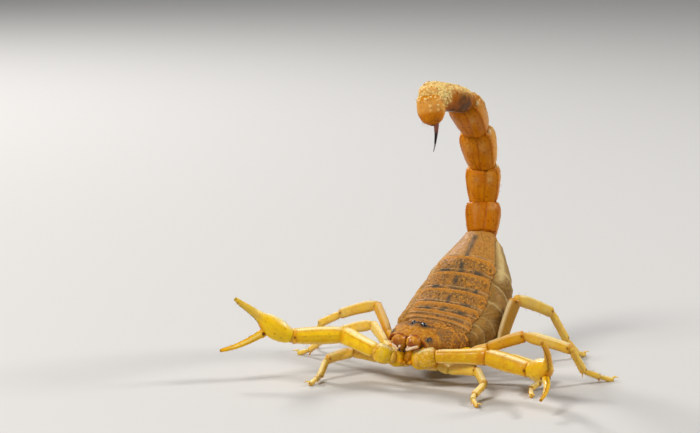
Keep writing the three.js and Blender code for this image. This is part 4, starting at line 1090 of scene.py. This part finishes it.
wrists = {}
for name, sign in (("left", 1), ("right", -1)):
    inner, joint = arm_hip[0] * [sign, 1, 1], arm_hip[1] * [sign, 1, 1]
    forward = unit(joint - inner)
    skins = {"shoulder": [], "upper_arm": [], "forearm": []}
    lay = (inner, forward, np.array([0, 0, 1.0]), sign, arm_sizes["hip"], arm_shapes["hip"])
    grid, n, t, turn = segment(*lay, blunt=0.9, fine=0.09)
    lift = 0.05 * np.sin(2 * np.pi * 2.5 * t) * band(turn, 180, 60) + 0.03 * grain(grid, 0.5, 51)
    lift += keel(t, turn, 320, 0.08, beads=8) + keel(t, turn, 20, 0.06, 0.2, 0.98)
    skins["shoulder"].append(tube(raised(grid, n, lift), arm_marks(grid, t, turn, 51)))
    # The hip's upper lobe lies under the corner of the head shield.
    root, size = inner + np.array([sign * 0.8, 0.3, 1.3]), (2.75, 1.9, 1.7)
    grid, n, t, turn = segment(root, *laid(sign * 4, -9), sign, size, arm_shapes["hip"], 0.8, 0.09)
    skins["shoulder"].append(tube(raised(grid, n, 0.03 * grain(grid, 0.4, 50)), {"warm": 0.75}))
    for k, piece in enumerate(("shoulder", "upper_arm", "forearm")):
        bearing, rise = arm_poses[name][piece]
        forward, up = laid(sign * bearing, rise)
        length, width, height = arm_sizes[piece]
        inside = width * hinge_share, height * hinge_share
        skins[piece].append(hinge_skin(joint, forward, up, sign, *inside, 1.0))
        lay = (joint, forward, up, sign, arm_sizes[piece], arm_shapes[piece])
        grid, n, t, turn = segment(*lay, blunt=0.45, fine=0.085, squareness=(0.85, 0.82, 0.9)[k])
        marks = arm_marks(grid, t, turn, 52 + k)
        # The right arm is painted lighter and yellower, as painted light; the grain mottles both arms.
        marks["sun"] = (0.0 if sign > 0 else 0.55) + 0.25 * grain(grid, 0.9, 48)
        dusk = (0.14 if sign > 0 else 0.0) + (0.2 if k == 0 else 0.05) * (1 + grain(grid, 0.5, 49))
        marks["dusk"] = np.clip(dusk + 0.5 * studs(grid, 0.7, 0.25, 44), 0, 0.8)
        rough = studs(grid, 0.3, 0.24, 53 + k)
        # The pale crest along the top of the shoulder and of the forearm is a painted highlight.
        if piece == "shoulder":
            lift = 0.05 * rough - 0.08 * band(turn, 90, 24) + 0.14 * hump(t - 0.93, 0.04)
            for at, height in ((52, 0.2), (128, 0.16), (320, 0.18)):
                lift += keel(t, turn, at, height, 0.1, 0.98, 7, 7)
            crest = 0.6 * band(turn, 60, 7) * window(t, 0.1, 0.9, 0.05)
            marks["pale"] = np.clip(marks["pale"] + crest + 0.4 * rough * (t > 0.2), 0, 0.9)
        elif piece == "upper_arm":
            lift = 0.03 * rough * band(turn, 90, 35) - 0.06 * band(turn, 90, 22) * window(t, 0.1, 0.9, 0.06)
            lift += 0.12 * band(turn, 4, 6) * np.clip(wave(5 * t), 0, 1) ** 4
            for at, height, beads in ((52, 0.17, 21), (128, 0.17, 21), (318, 0.14, 19), (222, 0.08, 19)):
                lift += keel(t, turn, at, height, beads=beads)
            flat_back = band(turn, 90, 26) * window(t, 0.07, 0.95, 0.04)
            marks["pale"] = np.clip(0.85 * flat_back + 0.5 * band(turn, 318, 8), 0, 0.9)
            seam = 0.55 * band(turn, 44, 6) * window(t, 0.05, 0.8, 0.05)
            patch = 0.7 * band(turn, 0, 34) * window(t, 0.8, 0.97, 0.03)
            marks["warm"] = np.clip(marks["warm"] + seam + patch, 0, 1)
        else:
            lift = keel(t, turn, 12, 0.05, 0.15, 0.9)
            for at, height, beads in ((55, 0.12, 24), (125, 0.12, 24), (318, 0.1, 0), (225, 0.08, 0)):
                lift += keel(t, turn, at, height, beads=beads)
            crest = band(turn, 70, 18) * window(t, 0.08, 0.94, 0.04)
            marks["pale"] = np.clip(0.8 * crest + 0.35 * band(turn, 318, 9), 0, 0.9)
            marks["warm"] = np.clip(marks["warm"] + 0.4 * band(turn, 44, 5) * window(t, 0.1, 0.9, 0.05), 0, 1)
            marks["dot"] = marks["dot"] + 0.8 * hump(t - 0.055, 0.014) * band(turn, 20, 10)
        lift += 0.012 * grain(grid, 0.3, 57 + k) + 0.12 * hump(t - 0.95, 0.035)
        skins[piece].append(tube(raised(grid, n, lift), marks))
        sow(grid, n, 26 if k else 10, 0.9, 60 + k + 5 * (sign > 0), k + (10 if sign > 0 else 14))
        joint = joint + forward * length
    wrists[name] = joint
    place(f"arm_hip_{name}", skins["shoulder"], limb_shell, "limb", f"pedipalp_{name}_coxa")
    place(f"upper_arm_{name}", skins["upper_arm"], limb_shell, "limb", f"pedipalp_{name}_femur")
    place(f"forearm_{name}", skins["forearm"], limb_shell, "limb", f"pedipalp_{name}_patella")

# ------------------------------------------------------------------------------- the hands and fingers
# A smooth swollen hand runs on without a step into its fixed finger, and a second finger hinges below it
# on dark red knuckles. The fingers are slender, a little bowed, and edged with rows of tiny dark teeth.

hand_reach = 10.5  # from the wrist along the hand to the end of the fixed finger
hand_rows, finger_rows = 170, 110
# Place along that reach from 0 to 1, with width and height there.
hand_shape = np.array([
    [0.0, 1.75, 1.8], [0.05, 2.2, 2.3], [0.13, 2.6, 2.75], [0.23, 2.8, 3.05], [0.33, 2.6, 2.85],
    [0.41, 2.05, 2.3], [0.48, 1.4, 1.52], [0.6, 0.98, 1.1], [0.78, 0.78, 0.88], [0.94, 0.56, 0.64],
    [1.0, 0.46, 0.5],
])
hand_stops = [0, 0.4, 0.6, 1]
# Bearing and rise at those stops.
hand_bends = {
    "left": ([65, 49, 25, -4], [4, 27, 52, 36]),
    "right": ([46, 42, 21, 8], [22, 43, 35, 33]),
}
finger = {"length": 6.9, "root": 1.35, "middle": 0.85, "tip": 0.44, "place": 0.35, "drop": 1.0}
knuckle_radius = 0.24
# Bearing and rise at the root, middle and tip of the hinged finger.
finger_bends = {
    "left": ([42, 23, 3], [-10, -13, -18]),
    "right": ([36, 37, 40], [-29, -20, -6]),
}


def wend(root, stops, bearings, rises, reach, count):
    """A path that sets off from a root and changes its heading smoothly from stop to stop."""
    t = np.linspace(0, 1, count)
    near = t[:, None] + np.linspace(-0.06, 0.06, 9)
    bearing, rise = [np.interp(near, stops, turns).mean(1) for turns in (bearings, rises)]
    forward, up = laid(bearing, rise)
    step = (forward[1:] + forward[:-1]) / 2 * reach / (count - 1)
    return t, np.concatenate([root[None], root + np.cumsum(step, 0)]), forward, up


def tooth_row(t, turn, at, start):
    """Slanting rows of small dark teeth along the inner edge of a finger."""
    slant = (t * 13) % 1.0
    row = band(turn, at + 8 - 16 * slant, 13) * window(t, start, 0.96, 0.02)
    teeth = 0.5 + 0.5 * wave(44 * t)
    return 0.1 * row * teeth, row * (0.45 + 0.55 * teeth)


for name, sign in (("left", 1), ("right", -1)):
    wrist = wrists[name]
    bearings, rises = hand_bends[name]
    t, centre, forward, up = wend(wrist, hand_stops, sign * np.array(bearings), rises, hand_reach, hand_rows)
    near = t[:, None] + np.linspace(-0.03, 0.03, 7)
    w, h = [np.interp(near, hand_shape[:, 0], hand_shape[:, k]).mean(1) for k in (1, 2)]
    ends = blunted(t * hand_reach + 0.15, 0.5) * blunted((1 - t) * hand_reach, 0.32)
    grid, n, turn = loft(centre, forward, up, sign, w * ends, h * ends, 120, 0.95)
    t = t[:, None]
    teeth, row = tooth_row(t, turn, 270, 0.47)
    palm, outer = window(t, 0.03, 0.4, 0.05), band(turn, 62, 7)
    lift = teeth + 0.012 * grain(grid, 0.35, 71) + 0.05 * outer * window(t, 0.04, 0.8, 0.1)
    lift += 0.04 * band(turn, 122, 7) * window(t, 0.04, 0.5, 0.1)
    lift += 0.05 * (band(turn, 335, 8) + band(turn, 205, 8)) * palm
    lift -= 0.09 * band(turn, 80, 9) * hump(t - 0.05, 0.05)
    socket = ease(t, 0.3, 0.38) * (1 - ease(t, 0.44, 0.52)) * band(turn, 270, 52)
    # The pale band along the top edge of the hand is a painted highlight.
    pale = (0.5 if sign > 0 else 0.75) * band(turn, 80, 26) * window(t, 0.5, 0.96, 0.1)
    marks = {
        "pale": np.clip(pale + 1.1 * band(turn, 80, 24) * window(t, 0.02, 0.5, 0.06), 0, 0.95),
        # The right hand is painted lighter, as painted light; the grain mottles both hands.
        "sun": (0.0 if sign > 0 else 0.5) + 0.25 * grain(grid, 0.9, 49),
        "warm": np.clip(0.8 * socket + (0.5 if sign > 0 else 0.05) * ease(t, 0.42, 0.7), 0, 0.9),
        "dusk": (0.1 if sign > 0 else 0.0) + 0.06 * (1 + grain(grid, 0.6, 47)),
        "soft": (0.0 if sign > 0 else 0.55) * ease(t, 0.42, 0.6),
        "dot": np.clip(0.85 * row + 0.5 * ease(t, 0.972, 0.985), 0, 1),
    }
    hand = [tube(raised(grid, n, lift), marks), hinge_skin(wrist, forward[0], up[0], sign, 1.7, 1.8, 0.9)]
    place(f"hand_{name}", hand, limb_shell, "limb", f"pedipalp_{name}_chela")
    sow(grid, n, 44, 0.7, 75 + sign, 20 + sign, 0.06, 0.95)

    at = int(finger["place"] * (hand_rows - 1))
    root = centre[at] - up[at] * finger["drop"] - forward[at] * 0.35
    bearings, rises = finger_bends[name]
    way = ([0, 0.5, 1], sign * np.array(bearings), rises)
    t, centre, forward, up = wend(root, *way, finger["length"], finger_rows)
    fat = np.interp(t, [0, 0.12, 0.5, 1], [finger["root"], 1.05, 0.92 * finger["middle"], finger["tip"]])
    fat = fat * blunted(t * finger["length"], 0.5) * blunted((1 - t) * finger["length"], 0.25)
    grid, n, turn = loft(centre, forward, up, sign, fat * 0.95, fat, 72, 0.95)
    t = t[:, None]
    teeth, row = tooth_row(t, turn, 90, 0.14)
    lift = teeth + 0.03 * band(turn, 0, 12) * window(t, 0.1, 0.8, 0.1)
    lift += 0.1 * hump(t - 0.11, 0.03) * band(turn, 270, 60)
    marks = {
        "pale": 0.4 * band(turn, 25, 16) * window(t, 0.12, 0.8, 0.1),
        "warm": np.clip(0.35 * ease(t, 0.6, 1) + 0.75 * (1 - ease(t, 0.07, 0.15)), 0, 1),
        "dot": np.clip(0.85 * row + 0.5 * ease(t, 0.955, 0.98), 0, 1),
    }
    parts = [tube(raised(grid, n, lift), marks)]
    ring = grid[9]
    for edge in (0, 180):
        pivot = ring[edge * len(ring) // 360]
        out = unit(pivot - ring.mean(0))
        knuckle = dome(pivot - 0.06 * out, knuckle_radius, out, 0.8, 16, 24)
        parts.append(tube(knuckle, {"dot": 0.9, "warm": 0.5}))
    place(f"finger_{name}", parts, limb_shell, "limb", f"pedipalp_{name}_movable_finger")
    sow(grid, n, 18, 0.6, 85 + sign, 24 + sign, 0.1, 0.95)

# ------------------------------------------------------------------------------------------- the legs
# Eight legs of six pieces each, slim in the shank and flattened from side to side in the thigh, keeled along
# their edges. Each foot stands on the tip of its last piece, between two curved claws.

leg_lengths = {  # ring, thigh, knee piece, shank, ankle and foot, from the first pair to the last
    1: (1.6, 4.0, 4.5, 2.5, 1.8, 1.6),
    2: (2.0, 4.6, 5.7, 3.7, 2.7, 2.0),
    3: (2.4, 5.3, 6.9, 4.4, 3.2, 2.2),
    4: (2.6, 6.2, 7.5, 5.4, 3.9, 2.4),
}
leg_girths = [(1.35, 1.5), (1.1, 1.55), (1.1, 1.55), (0.92, 1.1), (0.72, 0.8), (0.62, 0.66)]
leg_bead_pitch = 0.3
leg_bows = (0, 0.1, 0.12, 0, 0, 0)  # how far the middle of each piece stands up from its line
leg_growth = 0.05  # how much stouter each pair is than the one before it
leg_hairs = (2, 10, 12, 16, 18, 22)
leg_hair_lengths = (0.5, 0.7, 0.8, 0.8, 0.7, 0.5)
ankle_height, sole_height = 0.85, 0.15
leg_shapes = [
    [[0, 0.8, 0.8], [0.4, 1, 1], [1, 0.9, 0.9]],
    [[0, 0.7, 0.65], [0.2, 0.95, 0.9], [0.75, 1, 1], [0.93, 1, 0.98], [1, 0.8, 0.75]],
    [[0, 0.62, 0.6], [0.2, 1, 1], [0.7, 0.9, 0.88], [0.93, 0.92, 0.86], [1, 0.75, 0.7]],
    [[0, 0.7, 0.7], [0.2, 0.95, 0.95], [0.6, 0.92, 0.9], [0.92, 0.98, 0.98], [1, 0.8, 0.8]],
    [[0, 0.75, 0.75], [0.3, 0.9, 0.9], [0.9, 1, 1], [1, 0.85, 0.85]],
    [[0, 0.75, 0.75], [0.5, 1, 1], [1, 0.8, 1.0]],
]
spur = (0.75, 0.2, 0.05, -20)  # length, thickness at the root and at the tip, and bend
# How far each claw turns out, with its length; the short one in the middle is a plain hook.
claws = [(-22, 1.05), (22, 1.05), (0, 0.4)]
claw_thick, claw_tip, claw_bend = 0.28, 0.06, -75
# Bearings of the six pieces and rises of the first four; the last two come down to the floor.
stances = {
    "left_1": ((92, 95, 42, -4, 23, 53), (-20, 5, -12, -20)),
    "left_2": ((108, 137, 109, 11, 7, 32), (-4, 2, -14, -17)),
    "left_3": ((108, 105, 92, 172, 163, 143), (19, 21, -9, -50)),
    "left_4": ((134, 144, 164, 169, 176, 180), (15, 69, -22, -52)),
    "right_1": ((92, 91, 23, 11, -20, 10), (-8, 6, -6, -57)),
    "right_2": ((125, 124, 98, 92, 91, 92), (17, 23, -16, -29)),
    "right_3": ((113, 127, 99, 101, 119, 131), (28, 35, -18, -26)),
    "right_4": ((150, 172, 160, 158, 158, 160), (10, 39, -11, -50)),
}

for which, (bearings, rises) in stances.items():
    name, number = which.split("_")
    number, sign = int(number), 1 if name == "left" else -1
    growth = 1 + leg_growth * (number - 2)
    joint = hip_ends[number - 1] * [sign, 1, 1]
    thigh, shank = [], []
    for i, length in enumerate(leg_lengths[number]):
        if i < 4:
            rise = rises[i]
        else:
            rise = math.degrees(math.asin(((ankle_height if i == 4 else sole_height) - joint[2]) / length))
        forward, up = laid(sign * bearings[i], rise)
        width, height = leg_girths[i][0] * growth, leg_girths[i][1] * growth
        lay = (joint, forward, up, sign, (length, width, height), leg_shapes[i])
        grid, n, t, turn = segment(*lay, blunt=0.3, fine=0.09, bow=leg_bows[i], overrun=0.08)
        lift = 0.01 * grain(grid, 0.25, 90 + i) + 0.05 * hump(t - 0.94, 0.03) * (i < 4)
        # The pale top of each leg piece is a painted highlight.
        pale = 0.5 * ease(np.sin(np.radians(turn)), 0.5, 0.95) * window(t, 0.05, 0.96, 0.04)
        if i in (1, 2):
            count = int(length / leg_bead_pitch)
            for at, tall in ((68, 0.07), (112, 0.07), (292, 0.06), (248, 0.05)):
                lift += keel(t, turn, at, tall, beads=count)
            lift -= 0.03 * band(turn, 12, 14) * window(t, 0.1, 0.85, 0.1)
            pale = np.maximum(pale, 0.75 * band(turn, 72, 12) * window(t, 0.06, 0.94, 0.04))
        if i == 3:
            lift += keel(t, turn, 90, 0.04) + keel(t, turn, 270, 0.03)
        hinge = hump(t - 0.93, 0.03) * (band(turn, 8, 12) + band(turn, 172, 12))
        # The thighs of the hind legs are warmer and darker, and those of the last pair darkest: there the
        # darkening is painted shade.
        hind_thigh = i < 2 and number > 2
        warm = (0.38 if number == 3 else 0.1) * hind_thigh + 0.2 * band(turn, 270, 40)
        dusk = 0.7 * (i < 2 and number == 4) + 0.16 * (i in (1, 2) and number > 2)
        marks = {
            "pale": pale,
            "warm": np.clip(warm + 0.6 * hump(t - 0.97, 0.05) + 0.3 * hump(t, 0.08), 0, 1),
            "soft": (0.1 if hind_thigh else 0.35) + 0.2 * grain(grid, 1.2, 95),
            "dusk": dusk + 0.35 * studs(grid, 0.6, 0.22, 96),
            "dot": 0.85 * hinge * (i in (1, 2, 3)),
        }
        grid = raised(grid, n, lift)
        grid[..., 2] = np.maximum(grid[..., 2], 0)
        made = thigh if i < 2 else shank
        made.append(tube(grid, marks))
        if i > 0:
            made.append(hinge_skin(joint, forward, up, sign, width * hinge_share, height * 0.66, 0.5))
        if i in (3, 4):
            spur_at = joint + forward * (length - 0.15) - up * height * 0.3
            for lean in ((0,) if i == 3 else (-28, 28)):
                if i == 3 and number < 3:
                    continue
                thorn = horn(spur_at, sign * (bearings[i] + lean), rise - 32, *spur, sign, 0.05)[0]
                shank.append(tube(thorn, {"warm": 0.7}))
        seed, strip = 10 * number + i, 30 + number * 3 + sign
        sow(grid, n, leg_hairs[i], leg_hair_lengths[i], 100 + seed, strip)
        if i in (4, 5):
            sow(grid, n, 26, 0.4, 200 + seed, 50 + number + 4 * (sign > 0), side=(270, 30))
        joint = joint + forward * length
    for lean, length in claws:
        root = joint - forward * 0.2 + np.array([0, 0, 0.16])
        rise = 8 if lean else -4
        lay = (sign * bearings[5] + lean, rise, length, claw_thick, claw_tip, claw_bend)
        grid, n, t, turn = horn(root, *lay, sign, 0.04, 1.0)
        grid[..., 2] = np.maximum(grid[..., 2], 0.02)
        shank.append(tube(grid, {"soft": 0.7 - 0.5 * t, "warm": 0.5 * ease(t, 0.6, 1)}))
    place(f"thigh_{which}", thigh, limb_shell, "limb", f"leg_{which}_femur")
    place(f"shank_{which}", shank, limb_shell, "limb", f"leg_{which}_shank")

# ------------------------------------------------------------------------------------------- the tail
# Five barrels of thick amber shell carry the sting. Each has a furrow down its back between two grained
# keels, more keels down its sides, and turns on its neighbour on two pale knobs in a dark collar of skin.

tail_rings = [  # length, width, height, bearing and rise
    (5.1, 4.8, 4.2, *tail_root_turns),
    (5.6, 4.7, 4.2, 22, 79),
    (6.4, 4.75, 4.3, 12, 57),
    (7.2, 4.6, 4.1, 12, 38),
    (8.3, 4.3, 3.7, -5, 12),
]
barrel = [
    [0, 0.7, 0.74], [0.1, 0.83, 0.86], [0.34, 0.95, 0.97],
    [0.68, 1.05, 1.04], [0.87, 1.0, 0.98], [1, 0.7, 0.72],
]
last_ring = [[0, 0.72, 0.76], [0.1, 0.9, 0.9], [0.4, 1.02, 1.0], [0.8, 0.98, 0.97], [1, 0.86, 0.86]]
collar_length = 1.3  # of the skin between two rings
sleeve_shape = [[0, 1, 1], [0.5, 1.02, 1.02], [1, 1, 1]]
ring_bead_pitch = 0.36
knob_radius, knob_shrink = 0.34, 0.03  # of the first ring's knobs, and less by that on each ring after it
# The turn about a ring of each of its keels, with the height of the keel.
ring_keels = [
    (60, 0.05), (120, 0.05), (26, 0.16), (154, 0.16), (330, 0.1), (210, 0.1), (292, 0.1), (248, 0.1),
]

tail_shell = cuticle("tail_shell", (0.64, 0.225, 0.002), 0.38, glow=0.25, shine=0.1)
dye(tail_shell,
    (((1.5, 5.0, 0.7), (0.44, 0.62, 0.8)), (0.52, 0.15, 0.002)),
    ("pale", (0.90, 0.68, 0.26)),
    ("deep", (0.38, 0.10, 0.002)),
    (((0.35, 3.0), (0.59, 0.67, 0.75)), (0.22, 0.055, 0.003)),
    # On the last ring this dark layer is painted shade.
    ("smoke", (0.062, 0.032, 0.012)),
    ("dark", (0.13, 0.038, 0.010)),
    # The knobs are painted near-white, partly as a painted glint.
    ("knob", (0.90, 0.76, 0.42)))
emboss(tail_shell, (0.22, 3.0), 0.03)
burnish(tail_shell, (0.9,), 0.26, 0.46)

joint = tail_root.copy()
for i, (length, width, height, bearing, rise) in enumerate(tail_rings):
    forward, up = heading(bearing, rise), -heading(bearing, rise + 90)
    last = i == len(tail_rings) - 1
    lay = (joint, forward, up, 1, (length, width, height), last_ring if last else barrel)
    grid, n, t, turn = segment(*lay, blunt=0.85, fine=0.09, squareness=0.9, overrun=0.2)
    count = int(length / ring_bead_pitch)
    lift = 0.02 * grain(grid, 0.5, 120 + i) + 0.03 * studs(grid, 0.4, 0.3, 121 + i) * band(turn, 90, 60)
    vee = 5 + 9 * t  # the furrow's two dark lines draw apart to the rear
    lift -= 0.12 * band(turn, 90, 12 + 8 * t) * window(t, 0.04, 0.93, 0.08)
    lift -= 0.03 * (band(turn, 90 - vee, 2.5) + band(turn, 90 + vee, 2.5)) * window(t, 0.08, 0.9, 0.06)
    for at, tall in ring_keels:
        if not (last and at in (26, 154)):
            lift += keel(t, turn, at, tall, 0.08, 0.95, 5.5, beads=count)
    # The underside, and the whole rear of the last ring, is crusted with pale warts.
    below = band(turn, 305, 34) + band(turn, 235, 34) + 0.6 * band(turn, 270, 40)
    if last:
        crust = np.clip(below + 1.2 * ease(t, 0.62, 0.85), 0, 1) * window(t, 0.04, 1.2, 0.04)
    else:
        crust = np.clip(1.3 * below + 0.6 * band(turn, 335, 10), 0, 1) * (0, 0.3, 0.5, 0.85)[i]
        crust = crust * window(t, 0.06, 0.96, 0.04)
    warts = np.clip(1.9 * studs(grid, 0.42, 0.46, 128), 0, 1) * crust
    upper = band(turn, 270, 52) * window(t, 0.08, 1.2, 0.05) + ease(t, 0.8, 0.9)
    lift += (0.17 if last else 0.1) * warts
    crust = crust * (0.35 + 0.65 * ease(grain(grid, 0.9, 141), -0.65, -0.1)) if last else crust
    # Over the knobs the pale colour is partly a painted glint.
    knob = hump(t - 0.95, 0.028) * (band(turn, 0, 11) + band(turn, 180, 11))
    lift += 0.15 * knob - 0.10 * hump(t - 0.985, 0.02) - 0.12 * hump(t - 0.045, 0.025)
    pits = np.clip(studs(grid, 0.95, 0.3, 130 + i) - 0.35, 0, 1) * window(t, 0.1, 0.9, 0.05)
    pale = 1.2 * knob + 0.95 * warts + (0.3 + 0.5 * upper if last else 0.15) * crust
    pale += 0.25 * band(turn, 0, 20) + 0.2 * band(turn, 180, 20)
    spots = band(turn, 64, 12) * hump(t - 0.74, 0.13) + 0.6 * band(turn, 110, 12) * hump(t - 0.7, 0.15)
    pale += 0.55 * spots * (0.6 + 0.5 * grain(grid, 0.45, 126)) * (not last)
    deep = (0.5, 0.1, 0.15, 0.4, 0.8)[i] + 0.35 * (band(turn, 33, 4) + band(turn, 147, 4))
    deep = deep + 0.5 * (1 - ease(t, 0.04, 0.14))
    furrow = 0.95 * band(turn, 90 - vee, 3.5) + 0.7 * band(turn, 90 + vee, 3)
    deep = deep + furrow * (0.55 + 0.6 * grain(grid, 0.8, 127)) * window(t, 0.06, 0.92, 0.06)
    blots = np.clip(studs(grid, 0.55, 0.3, 129) * 1.5, 0, 1)
    deep = deep + 0.45 * blots * (ease(t, 0.8, 0.94) + 1 - ease(t, 0.06, 0.2))
    dark = (0 if last else 0.9) * hump(t - 1.0, 0.025) + 0.85 * hump(t, 0.03) + 0.8 * pits
    dark += (0.15 if last else 0.3) * (crust > warts) * crust
    marks = {}
    if last:  # a ragged cloud of painted shade darkens the front of the last ring, except on its crust
        cloud = 0.55 + 0.6 * ease(grain(grid, 0.55, 140) + 0.5 * grain(grid, 0.25, 142), -0.5, 0.4)
        sides = hump(np.minimum(turned(turn, 5), turned(turn, 175)), 36)
        smoke = 1.3 * hump(t - 0.33, 0.17) * sides + 0.85 * window(t, 0.1, 0.62, 0.1) * band(turn, 70, 40)
        marks["smoke"] = np.clip(smoke * cloud * (1 - crust), 0, 0.88)
        # The deeper orange band added on the last ring is painted shade too.
        deep = (deep + 0.8 * band(turn, 45, 40) * window(t, 0.1, 0.7, 0.1)) * (1 - 0.85 * crust)
        dark = dark * (1 - 0.7 * np.clip(upper, 0, 1) * crust)
    dark = dark * (1 - 0.8 * np.clip(knob, 0, 1))
    for title, value in (("pale", pale), ("deep", deep), ("dark", dark)):
        marks[title] = np.clip(value, 0, 1)
    parts = [tube(raised(grid, n, lift), marks)]
    if not last:
        side = np.cross(forward, up)
        for edge in (1, -1):
            centre = joint + forward * (length - 0.22) + edge * side * width * 0.385
            bead = dome(centre, knob_radius - knob_shrink * i, edge * side, 0.95)
            parts.append(tube(bead, {"knob": 0.6, "dark": 0.35 * hump(np.arange(22)[:, None] - 11, 3.0)}))
    if i > 0:
        size = (collar_length, width * 0.74, height * 0.76)
        start = joint - forward * collar_length / 2
        sleeve, m, s, _ = segment(start, forward, up, 1, size, sleeve_shape, 0.3, 0.1, 0.95)
        sleeve = raised(sleeve, m, 0.05 * np.sin(2 * np.pi * 3 * s))
        parts.append(tube(sleeve, {"dark": 0.5}))
    sow(grid, n, 18, 0.9, 150 + i, 58)
    place(f"tail_ring_{i + 1}", parts, tail_shell, "tail", f"metasoma_{i + 1}")
    joint = joint + forward * length

# ------------------------------------------------------------------------------------------ the sting
# The tail ends in a bulb that holds the venom, grained in rows underneath, and draws out into a curved
# needle, dark red where it leaves the bulb and glossy black to the point.

bulb = {"length": 4.1, "width": 3.65, "height": 3.65, "bearing": 60, "rise": -76}
# The needle's bearing, rise, length, thickness at the root and at the tip, and how far it bends.
needle_lay = (10, -79, 4.7, 1.2, 0.07, 58)
needle_sunk, needle_aside = 1.0, 0.55
neck_size = (1.8, 2.7, 2.6)
bulb_shape = [
    [0, 0.66, 0.68], [0.12, 0.9, 0.92], [0.36, 1.03, 1.03],
    [0.62, 1.0, 1.0], [0.85, 0.74, 0.74], [1, 0.3, 0.3],
]

forward, up = heading(bulb["bearing"], bulb["rise"]), -heading(bulb["bearing"], bulb["rise"] + 90)
size = (bulb["length"], bulb["width"], bulb["height"])
grid, n, t, turn = segment(joint, forward, up, 1, size, bulb_shape, blunt=0.6, fine=0.08, squareness=0.98)
bumps = np.clip(1.5 * studs(grid, 0.36, 0.36, 163), 0, 1) * (1 - ease(t, 0.2, 0.3))
for at in (238, 270, 302):
    bumps += band(turn, at, 5) * (hump(t - 0.42, 0.03) + 0.6 * hump(t - 0.56, 0.025))
lift = 0.13 * bumps + 0.02 * grain(grid, 0.5, 160) + 0.015 * studs(grid, 0.4, 0.3, 161)
dots = np.clip(studs(grid, 1.0, 0.3, 162) - 0.4, 0, 1)
marks = {
    "pale": np.clip(0.9 * bumps + 0.2 * window(t, 0.2, 0.6, 0.1), 0, 0.95),
    "deep": 0.6 * ease(t, 0.7, 0.95),
    "dark": np.clip(0.8 * hump(t, 0.05) + 0.85 * ease(t, 0.93, 1.0) + 0.5 * dots, 0, 1),
}
sow(grid, n, 30, 1.0, 170, 60, 0.15, 0.85)
neck, m, _, _ = segment(joint - forward, forward, up, 1, neck_size, sleeve_shape, 0.6, 0.07, 1.0)
knobs = np.clip(1.5 * studs(neck, 0.36, 0.36, 164), 0, 1)
neck = tube(raised(neck, m, 0.12 * knobs), {"pale": 0.35 + 0.6 * knobs})
place("sting_bulb", [tube(raised(grid, n, lift), marks), neck], tail_shell, "tail", "telson_vesicle")

sting_black = cuticle("sting_black", (0.012, 0.007, 0.005), 0.1, coat=0.6, shine=0.5)
dye(sting_black,
    ("root", (0.24, 0.045, 0.010)),
    (((0.4,), (0.5, 0.7, 0.5)), (0.03, 0.012, 0.006)))
root = joint + forward * (bulb["length"] - needle_sunk) + [needle_aside, 0, 0]
grid, n, t, turn = horn(root, *needle_lay, 1, fine=0.05, power=0.55, blunt=0.1)
needle = tube(grid, {"root": 1 - ease(t, 0.25, 0.5)})
place("sting_needle", [needle], sting_black, "sting", "telson_aculeus")

# --------------------------------------------------------------------------------------- the bristles
# Stiff pale bristles, each a hollow hair of cuticle in its own socket, stand thinly over the limbs, the
# tail and the sting, and closer together under the feet.

bristle_thickness = 0.045
bristle_sides, bristle_steps = 3, 4
patch_width = 0.003  # of a bristle on the skin map

bristle = cuticle("bristle", (0.52, 0.27, 0.06), 0.35)
dye(bristle, (((0.5,), (0.45, 0.6, 0.6)), (0.36, 0.15, 0.03)))

root, lean_out, lean_on, lengths, dab = (np.concatenate(each) for each in zip(*hair_roots))
t = np.linspace(0, 1, bristle_steps + 1)[None, :, None]
way = lean_out[:, None] * (0.85 * t - 0.2 * t * t) + lean_on[:, None] * (0.25 * t + 0.35 * t * t)
line = root[:, None] + lengths[:, None, None] * way
right = unit(np.cross(lean_out, lean_on))
about = (np.arange(bristle_sides) * 2 * np.pi / bristle_sides)[None, None, :, None]
ring = np.cos(about) * right[:, None, None] + np.sin(about) * lean_on[:, None, None]
fat = (bristle_thickness / 2 * (1 - 0.85 * t))[..., None]
grid = line[:, :, None] + ring * fat
grid[..., 2] = np.maximum(grid[..., 2], 0.01)
rings = bristle_steps + 1
i = (np.arange(len(grid)) * rings * bristle_sides)[:, None, None]
j = (np.arange(bristle_steps) * bristle_sides)[None, :, None]
k = np.arange(bristle_sides)[None, None, :]
after = (k + 1) % bristle_sides
low, high = i + j, i + j + bristle_sides
walls = np.stack([low + k, low + after, high + after, high + k], -1).reshape(-1, 4)
i = i[:, 0, 0]
foot = np.stack([i + 2, i + 1, i], -1)
tip = i[:, None] + bristle_steps * bristle_sides + np.arange(3)
hairs = (grid.reshape(-1, 3), walls, np.concatenate([foot, tip]), {})
bristles = place("bristles", [hairs], bristle, "limb")
# Each bristle's patch on the skin map is a dab at the place of its root.
skin_map = bristles.data.uv_layers.new(name="OFBake")
owner = np.repeat(np.arange(len(grid)), rings * bristle_sides)
corner = np.zeros(len(bristles.data.loops), np.int32)
bristles.data.loops.foreach_get("vertex_index", corner)
step = (corner % (rings * bristle_sides)) // bristle_sides / bristle_steps
around = corner % bristle_sides / bristle_sides
patch = dab[owner[corner]] + patch_width * np.stack([around, step], -1)
skin_map.data.foreach_set("uv", patch.astype(np.float32).ravel())
